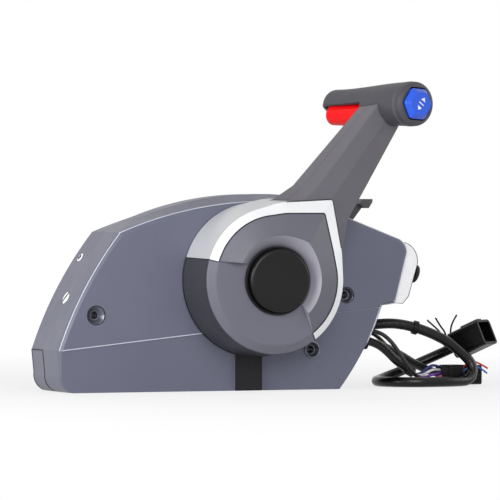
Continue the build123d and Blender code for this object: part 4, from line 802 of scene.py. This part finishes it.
class CONTROL_OT_mechanism(bpy.types.Operator):
    """Finishes of the frame, shaft, gears and bushes"""
    bl_idname = "lever_control.mechanism"
    bl_label = "Finish the mechanism"

    def execute(self, context):
        metals = settings().metals
        cast = machined("cast_metal", metals.cast, 0.5, pits=0.0001)
        dress(("shaft_frame", "handle_casting"), cast)
        gear_steel = machined("gear_steel", metals.steel, 0.35, (1.0, 8.0, 1.0))
        dress(("drive_pinion", "shift_sector", "throttle_sector", "sector_pins", "control_shaft",
               "hub_nut", "button_spring", "arm_screws", "rocker_pin", "lock_rod"), gear_steel)
        dress(("shaft_bush", "adjuster_inserts"), machined("bush_brass", metals.brass, 0.3))
        return {"FINISHED"}


class CONTROL_OT_lever(bpy.types.Operator):
    """Finishes of the hub, arm, grip and their coloured parts"""
    bl_idname = "lever_control.lever"
    bl_label = "Finish the lever"

    def execute(self, context):
        plastics, metals = settings().plastics, settings().metals
        dress(("hub_cover",), moulded("hub_plastic", plastics.hub, 0.38, 0.2,
                                       skirt=plastics.skirt, edge=0.0022))
        # The fairing's steep dish walls take the lighter dish colour: painted light in the dish round the
        # button.
        dress(("hub_fairing",), moulded("fairing_plastic", plastics.fairing, 0.38,
                                        skirt=plastics.dish_painted_light, steep=(0.7, 0.8)))
        dress(("button_ring",), moulded("ring_plastic", plastics.black, 0.36, 0.25, shine=0.22))
        dress(("handle_arm", "arm_back_cover"), moulded("arm_plastic", plastics.arm, 0.42, 0.4,
                                                        edge=0.0022))
        dress(("grip",), moulded("grip_plastic", plastics.grip, 0.5, grain=0.0009, grain_depth=0.00005))
        # The band's side wall takes the painted shade colour.
        dress(("silver_trim",), painted("silver_band_paint", metals.silver, 0.34, 0.15,
                                         side=metals.silver_side_painted_shade))
        dress(("throttle_only_button",), moulded("button_plastic", plastics.black, 0.3, 0.25,
                                                 coat=0.15, shine=0.22))
        dress(("release_bar",), moulded("bar_red", plastics.red, 0.42, 0.2, shine=0.2))
        dress(("trim_rocker",), moulded("rocker_blue", plastics.blue, 0.30, 0.3, coat=0.25))
        return {"FINISHED"}


GRIP_OUTWARD = (0.258819, -0.965926, 0.0)
ROCKER_FACE = 0.00955
ARROW_HALF = 0.0027
ARROW_BACK = 0.0012
ARROW_TIP = 0.0022
ARROW_PLACE = 0.0042
BAR_HALF_WIDTH = 0.0030
BAR_HALF_HEIGHT = 0.0005
SYMBOL_RISE = 0.0003
SYMBOL_BEVEL = 0.0001
# How far behind the rocker's pivot each line round the grip lies.
GRIP_LINES = (0.0042, 0.0062)
RAY_REACH = 0.04
RING_SINK = 0.0002


def triangle(middle, way):
    """An arrow head that points along Y or against it, corners anticlockwise."""
    corners = [(-ARROW_HALF, middle - way * ARROW_BACK), (ARROW_HALF, middle - way * ARROW_BACK),
               (0.0, middle + way * ARROW_TIP)]
    return corners[::way]


def bar_mark(half_width, half_height):
    return [(-half_width, -half_height), (half_width, -half_height), (half_width, half_height),
            (-half_width, half_height)]


def surface_ring(name, node, centre, axis, material, half=0.0005, lift=0.00028, count=120):
    """A thin raised line that follows a CAD piece's surface round an axis."""
    source = frame["nodes"][node]
    tree = BVHTree.FromObject(source, bpy.context.evaluated_depsgraph_get())
    inverse = source.matrix_world.inverted()
    aside = Vector(axis).orthogonal().normalized()
    across = Vector(axis).cross(aside).normalized()
    points, faces = [], []
    for index in range(count):
        angle = 2 * math.pi * index / count
        outward = aside * math.cos(angle) + across * math.sin(angle)
        hit = tree.ray_cast(inverse @ (centre + outward * RAY_REACH), inverse.to_3x3() @ -outward)[0]
        if hit is None:
            raise RuntimeError(f"{name}: no surface of {node} was met")
        foot = source.matrix_world @ hit
        for along, up in ((-half, -RING_SINK), (-half * 0.5, lift), (half * 0.5, lift),
                          (half, -RING_SINK)):
            points.append(foot + Vector(axis) * along + outward * up)
    for index in range(count):
        a, b = 4 * index, 4 * ((index + 1) % count)
        faces += [(a + k, b + k, b + (k + 1) % 4, a + (k + 1) % 4) for k in range(4)]
    mesh = bpy.data.meshes.new(name)
    mesh.from_pydata(points, [], faces)
    mesh.shade_smooth()
    mesh.materials.append(material)
    return linked(name, mesh)


class CONTROL_OT_grip_rings(bpy.types.Operator):
    """Two raised lines round the grip behind the trim rocker"""
    bl_idname = "lever_control.grip_rings"
    bl_label = "Add the grip's lines"

    def execute(self, context):
        outward = Vector(GRIP_OUTWARD)
        pivot = Vector(joint_named("rocker_tilt")["pos_m"])
        plastic = moulded("grip_line_plastic", settings().plastics.arm, 0.4)
        for index, back in enumerate(GRIP_LINES):
            ring = surface_ring(f"grip_line_{index}", "grip", pivot - outward * back, outward, plastic)
            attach(ring, "handle")
        return {"FINISHED"}


class CONTROL_OT_rocker_symbols(bpy.types.Operator):
    """Raised white up and down marks on the trim rocker"""
    bl_idname = "lever_control.rocker_symbols"
    bl_label = "Add the rocker's marks"

    def execute(self, context):
        white = moulded("symbol_white", settings().plastics.symbol, 0.45, 0.0)
        joint = joint_named("rocker_tilt")
        face = Vector(joint["pos_m"]) + Vector(GRIP_OUTWARD) * ROCKER_FACE
        place = aimed(face, GRIP_OUTWARD, joint["axis"])
        marks = [triangle(ARROW_PLACE, 1), triangle(-ARROW_PLACE, -1),
                 bar_mark(BAR_HALF_WIDTH, BAR_HALF_HEIGHT)]
        piece = slab_mesh("rocker_symbols", marks, SYMBOL_RISE, place, white, SYMBOL_BEVEL)
        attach(piece, "rocker")
        return {"FINISHED"}


# Painted shadow lines along edges, dark beads that stand in for the shade in the gaps between parts and in
# the screws' slots: node, body, least angle in degrees, low and high corner, bead radius.
SEAMS = (
    ("hub_cover", "handle", 60, (-0.2, -0.0413, -0.1), (0.2, -0.0407, 0.3), 0.0007),
    ("silver_trim", "handle", 62, (-0.2, -0.2, -0.1), (0.2, -0.0415, 0.3), 0.0004),
    ("friction_screw", "friction_adjuster", 50, (-0.2, -0.2, -0.1), (0.2, 0.2, 0.3), 0.00022),
    ("detent_screw", "detent_adjuster", 50, (-0.2, -0.2, -0.1), (0.2, 0.2, 0.3), 0.00022),
    ("trim_wire_cover", "housing", 60, (-0.2, -0.2, -0.1), (0.2, -0.030, 0.3), 0.0004),
    ("cable_exit_cover", "housing", 60, (-0.2, -0.2, 0.0006), (0.2, 0.2, 0.3), 0.0004),
    ("switch_panel", "housing", 60, (-0.2, -0.2, -0.1), (0.2, 0.0, 0.3), 0.0003),
)
# Painted highlight lines on the side cover's edges, light beads that stand in for the edges' shine: name,
# low corner, high corner.
EDGE_LINES = {
    "crease_line": ((-0.165, -0.0400, 0.0370), (-0.060, -0.0385, 0.0500)),
    "rim_line": ((-0.1765, -0.0391, 0.0380), (0.20, -0.0350, 0.30)),
}
EDGE_ANGLE = 25.0
EDGE_RADIUS = 0.00045
FACE = -0.0395
# Counterbores: X, Z, radius at the face.
HOLES = ((-0.1445, 0.066, 0.008), (0.0858, 0.0814, 0.0068), (0.0542, 0.0346, 0.007))
RIM_ANGLE = 60.0
RIM_RADIUS = 0.0004
RIM_REACH = 0.001
RIM_ABOVE = 0.0005
RIM_BELOW = 0.0022
SEAT_HOLE = 0.0044
SEAT_DEPTH = 0.0046
SEAT_FOOT = 0.0042
SEAT_TOP = 0.0004
SEAT_GAP = 0.0001
SEAT_LIP = 0.0005


def edge_beads(name, node, tree, material, angle, low, high, radius):
    """Beads along a CAD piece's edges that are sharper than an angle and lie within a box."""
    values = {"Sharpness": math.radians(angle), "Low": low, "High": high, "Radius": radius}
    return grown(name, tree, values, Matrix(), material, frame["nodes"][node].data)


def seat_outline(radius):
    """Radius and height of a cone-shaped seat's corners, from its hole outwards."""
    wall = radius - SEAT_GAP
    return ((SEAT_HOLE, -SEAT_DEPTH), (wall, -SEAT_DEPTH), (wall, -SEAT_TOP),
            (wall - SEAT_LIP, -SEAT_TOP), (SEAT_HOLE, -SEAT_FOOT))


class CONTROL_OT_seams(bpy.types.Operator):
    """Painted shadow beads in the seams and round the mounting holes' rims, painted highlight lines on the
    side cover's edges, and cone-shaped seats in the mounting holes
    """
    bl_idname = "lever_control.seams"
    bl_label = "Add the seams"

    def execute(self, context):
        # Painted shade: dark beads in the seams and round the holes' rims stand in for the shadow in the
        # gaps; they take the sheath's black.
        rubber_and_painted_shade = soft_sheath("painted_seam_shadow", settings().wiring.sheath, 0.5)
        tree = bead_tree()
        # Light beads along the side cover's edges: a painted highlight.
        painted_highlight = moulded("painted_edge_highlight", settings().plastics.painted_highlight, 0.25, 0.0)
        for name, (low, high) in EDGE_LINES.items():
            line = edge_beads(name, "inboard_cover", tree, painted_highlight, EDGE_ANGLE, low, high, EDGE_RADIUS)
            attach(line, "housing")
        for node, body, angle, low, high, radius in SEAMS:
            seam = edge_beads(node + "_seam", node, tree, rubber_and_painted_shade, angle, low, high, radius)
            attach(seam, body)
        for index, (x, z, radius) in enumerate(HOLES):
            near = radius + RIM_REACH
            low = (x - near, FACE - RIM_ABOVE, z - near)
            high = (x + near, FACE + RIM_BELOW, z + near)
            # A dark bead round each hole's rim: painted shade.
            rim = edge_beads(f"hole_rim_{index}", "inboard_cover", tree, rubber_and_painted_shade, RIM_ANGLE, low, high,
                             RIM_RADIUS)
            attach(rim, "housing")
        seat_metal = painted("seat_metal", settings().plastics.seat, 0.26, 0.8)
        for index, (x, z, radius) in enumerate(HOLES):
            place = aimed((x, FACE, z), (0, -1, 0), (1, 0, 0))
            seat = turned(f"hole_seat_{index}", seat_outline(radius), place, seat_metal)
            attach(seat, "housing")
        return {"FINISHED"}


# Knurled rims: name, place across from the key switch, radius.
KNURLS = (("ignition_knurl", 0.0, 0.0139), ("stop_knurl", -0.030, 0.0114))
KNURL_COUNT = 40
KNURL_RIB = (0.0006, 0.0009, 0.0018)
KNURL_LIFT = 0.0013


class CONTROL_OT_end_panel(bpy.types.Operator):
    """Finishes of the end panel and switches, with knurled rims on the bezel nuts"""
    bl_idname = "lever_control.end_panel"
    bl_label = "Finish the end panel"

    def execute(self, context):
        plastics, metals = settings().plastics, settings().metals
        dress(("switch_panel",), painted("panel_paint", metals.panel, 0.38, 0.05))
        dress(("ignition_barrel", "stop_switch_body"), moulded("switch_black", plastics.black, 0.45))
        dress(("stop_switch_knob",), moulded("knob_black", plastics.black, 0.35))
        chrome = machined("bright_plate", metals.steel, 0.14, pits=0.000005)
        dress(("switch_nuts", "ignition_rotor"), chrome)
        joint = joint_named("ignition_turn")
        outward, centre = Vector(joint["axis"]), Vector(joint["pos_m"])
        tree = ring_tree()
        for name, across, radius in KNURLS:
            origin = centre + Vector((0, across, 0)) + outward * KNURL_LIFT
            values = {"Count": KNURL_COUNT, "Radius": radius, "Rib": KNURL_RIB}
            ribs = grown(name, tree, values, aimed(origin, outward, (0, 1, 0)), chrome)
            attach(ribs, "housing")
        return {"FINISHED"}


class CONTROL_OT_wiring(bpy.types.Operator):
    """The loom, its branch leads, single wires and connectors"""
    bl_idname = "lever_control.wiring"
    bl_label = "Lay the wiring"

    def execute(self, context):
        wiring, plastics = settings().wiring, settings().plastics
        sheath = soft_sheath("sheath_pvc", wiring.sheath, 0.2)
        # The grommet and boot's own black rubber, with no painted shade.
        rubber_and_painted_shade = soft_sheath("black_rubber", scaled_colour(wiring.sheath, 0.8)[:3], 0.5)
        dress(("loom_grommet", "lead_boot"), rubber_and_painted_shade)
        plug_black = moulded("connector_black", plastics.black, 0.34, 0.3, shine=0.2)
        dress(("gauge_plug", "trim_plug", "engine_plug"), plug_black)
        nodes = frame["nodes"]
        pins = add_socket_pins(wiring)
        ribs = [add_plug_ribs(name, plug_black) for name in ("gauge_plug", "trim_plug")]
        tie = add_tie(plug_black)
        self.lay("main_loom_cord", LOOM_ROUTE, wiring.loom_radius, sheath, "main_loom",
                 [nodes["engine_plug"], pins, tie])
        self.lay("switch_lead_cord", SWITCH_ROUTE, wiring.lead_radius, sheath, "switch_lead",
                 [nodes["lead_boot"]])
        self.lay("trim_lead_cord", TRIM_ROUTE, wiring.lead_radius, sheath, "trim_lead",
                 [nodes["trim_plug"], ribs[1]])
        colours = (wiring.pink, wiring.violet, wiring.white, wiring.navy)
        for index, colour in enumerate(colours):
            insulation = soft_sheath(f"insulation_{index}", colour, 0.35)
            route = wire_route(index, len(colours))
            piece = cord_curve(f"gauge_wire_{index}", route, wiring.wire_radius, insulation)
            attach(piece, "housing")
            if index == 0:
                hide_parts("gauge_wires")
            round(spline_length(route), 4)
        for name, route in THIN_LEADS:
            piece = cord_curve(name, route, wiring.thin_radius, sheath)
            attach(piece, "housing")
            round(spline_length(route), 4)
        shades = {"black": wiring.sheath, "red": wiring.hot, "blue": wiring.signal}
        for index, (shade, route) in enumerate(LOOSE_WIRES):
            material = soft_sheath(f"loose_{shade}_{index}", shades[shade], 0.35)
            piece = cord_curve(f"loose_wire_{index}", route, wiring.loose_radius, material)
            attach(piece, "housing")
            round(spline_length(route), 4)
        return {"FINISHED"}

    def lay(self, name, route, radius, material, node, carried):
        piece = cord_curve(name, route, radius, material)
        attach(piece, "housing")
        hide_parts(node)
        round(spline_length(route), 4)


PIN_ROWS = 2
PINS_WIDE, PINS_HIGH = 0.0145, 0.0090
PIN_SIZE = (0.0020, 0.0009, 0.012)
PIN_AHEAD = 0.016
RIBS_ACROSS = 6
RIB_ROWS = 2
RIB_SIZE = (0.0008, 0.0052, 0.0009)
RIBS_ALONG = 0.7
RIBS_SPREAD = 0.42


def add_socket_pins(wiring):
    """Steel blades inside the engine plug's socket."""
    end, before = Vector(LOOM_ROUTE[-1]), Vector(LOOM_ROUTE[-2])
    aim = (end - before).normalized()
    level = Vector((0, 0, 1)).cross(aim)
    blade = machined("blade_metal", settings().metals.steel, 0.25)
    values = {"Across": wiring.pins, "Rows": PIN_ROWS, "Width": PINS_WIDE, "Height": PINS_HIGH,
              "Pin": PIN_SIZE}
    place = aimed(end + aim * PIN_AHEAD, aim, level)
    pins = grown("socket_pins", grid_tree(), values, place, blade)
    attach(pins, "housing")
    return pins


def add_plug_ribs(node, material):
    """Two rows of short grip ribs on a connector's near side."""
    low, high = (Vector(corner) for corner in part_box(node))
    origin = (low.x * (1 - RIBS_ALONG) + high.x * RIBS_ALONG, low.y, (low.z + high.z) / 2)
    values = {"Across": RIBS_ACROSS, "Rows": RIB_ROWS, "Width": (high.x - low.x) * RIBS_SPREAD,
              "Height": (high.z - low.z) * RIBS_SPREAD, "Pin": RIB_SIZE}
    ribs = grown(node + "_ribs", grid_tree(), values, aimed(origin, (0, -1, 0), (1, 0, 0)), material)
    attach(ribs, "housing")
    return ribs


TIE_PLACE = (0.1655, -0.0050, 0.0515)
TIE_AIM = (0.016, -0.003, -0.0045)
TIE_INNER, TIE_OUTER, TIE_HALF = 0.0049, 0.0061, 0.0022
TIE_SIDES = 40
TIE_BEVEL = 0.0003
# The square lock: how far it stands out of the strap, its half width, and its overlap with the strap.
LOCK_RISE = 0.0016
LOCK_HALF = 0.0027
LOCK_OVERHANG = 0.0006
LOCK_ROOT = 0.0004


def add_tie(material):
    """A flat strap round the loom with its square lock."""
    place = aimed(TIE_PLACE, TIE_AIM, (0, 1, 0))
    mesh = bpy.data.meshes.new("loom_tie")
    section = ((TIE_INNER, -TIE_HALF), (TIE_OUTER, -TIE_HALF), (TIE_OUTER, TIE_HALF),
               (TIE_INNER, TIE_HALF))
    points, faces = [], []
    for index in range(TIE_SIDES):
        angle = 2 * math.pi * index / TIE_SIDES
        points += [(radius * math.cos(angle), radius * math.sin(angle), height)
                   for radius, height in section]
    for index in range(TIE_SIDES):
        a, b = 4 * index, 4 * ((index + 1) % TIE_SIDES)
        faces += [(a + k, a + (k + 1) % 4, b + (k + 1) % 4, b + k) for k in range(4)]
    first = len(points)
    x, y, z = TIE_OUTER + LOCK_RISE, LOCK_HALF, TIE_HALF + LOCK_OVERHANG
    low = TIE_INNER + LOCK_ROOT
    points += [(px, py, pz) for pz in (-z, z) for py in (-y, y) for px in (low, x)]
    faces += [tuple(first + i for i in face) for face in
              ((0, 2, 3, 1), (4, 5, 7, 6), (0, 1, 5, 4), (2, 6, 7, 3), (0, 4, 6, 2), (1, 3, 7, 5))]
    mesh.from_pydata(points, [], [tuple(reversed(face)) for face in faces])
    piece = linked("loom_tie", mesh)
    soften = piece.modifiers.new("soften", "BEVEL")
    soften.width = TIE_BEVEL
    soften.segments = 2
    piece = flattened(piece, place, material)
    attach(piece, "housing")
    return piece


class CONTROL_PT_panel(bpy.types.Panel):
    """Sizes, colours and steps of the lever control"""
    bl_label = "Lever control"
    bl_idname = "CONTROL_PT_panel"
    bl_space_type = "VIEW_3D"
    bl_region_type = "UI"
    bl_category = "Lever control"

    def draw(self, context):
        layout = self.layout
        for group in (settings().plastics, settings().metals, settings().wiring, settings().stage):
            box = layout.box()
            for name in group.__annotations__:
                box.prop(group, name)
        for step in STEPS:
            layout.operator(step.bl_idname)


GROUPS = (LeverPlastics, LeverMetals, LeverWiring, LeverStage, LeverControl)
STEPS = (CONTROL_OT_stage, CONTROL_OT_wiring, CONTROL_OT_case, CONTROL_OT_mechanism,
         CONTROL_OT_lever, CONTROL_OT_grip_rings, CONTROL_OT_rocker_symbols, CONTROL_OT_end_panel,
         CONTROL_OT_seams)


def register():
    for group in GROUPS:
        bpy.utils.register_class(group)
    for step in STEPS:
        bpy.utils.register_class(step)
    bpy.utils.register_class(CONTROL_PT_panel)
    bpy.types.Scene.lever_control = PointerProperty(type=LeverControl)


def unregister():
    del bpy.types.Scene.lever_control
    bpy.utils.unregister_class(CONTROL_PT_panel)
    for step in reversed(STEPS):
        bpy.utils.unregister_class(step)
    for group in reversed(GROUPS):
        bpy.utils.unregister_class(group)


def main():
    register()
    bpy.ops.lever_control.stage()
    bpy.ops.lever_control.wiring()
    bpy.ops.lever_control.case()
    bpy.ops.lever_control.mechanism()
    bpy.ops.lever_control.lever()
    bpy.ops.lever_control.grip_rings()
    bpy.ops.lever_control.rocker_symbols()
    bpy.ops.lever_control.end_panel()
    bpy.ops.lever_control.seams()


if __name__ == "__main__":
    main()
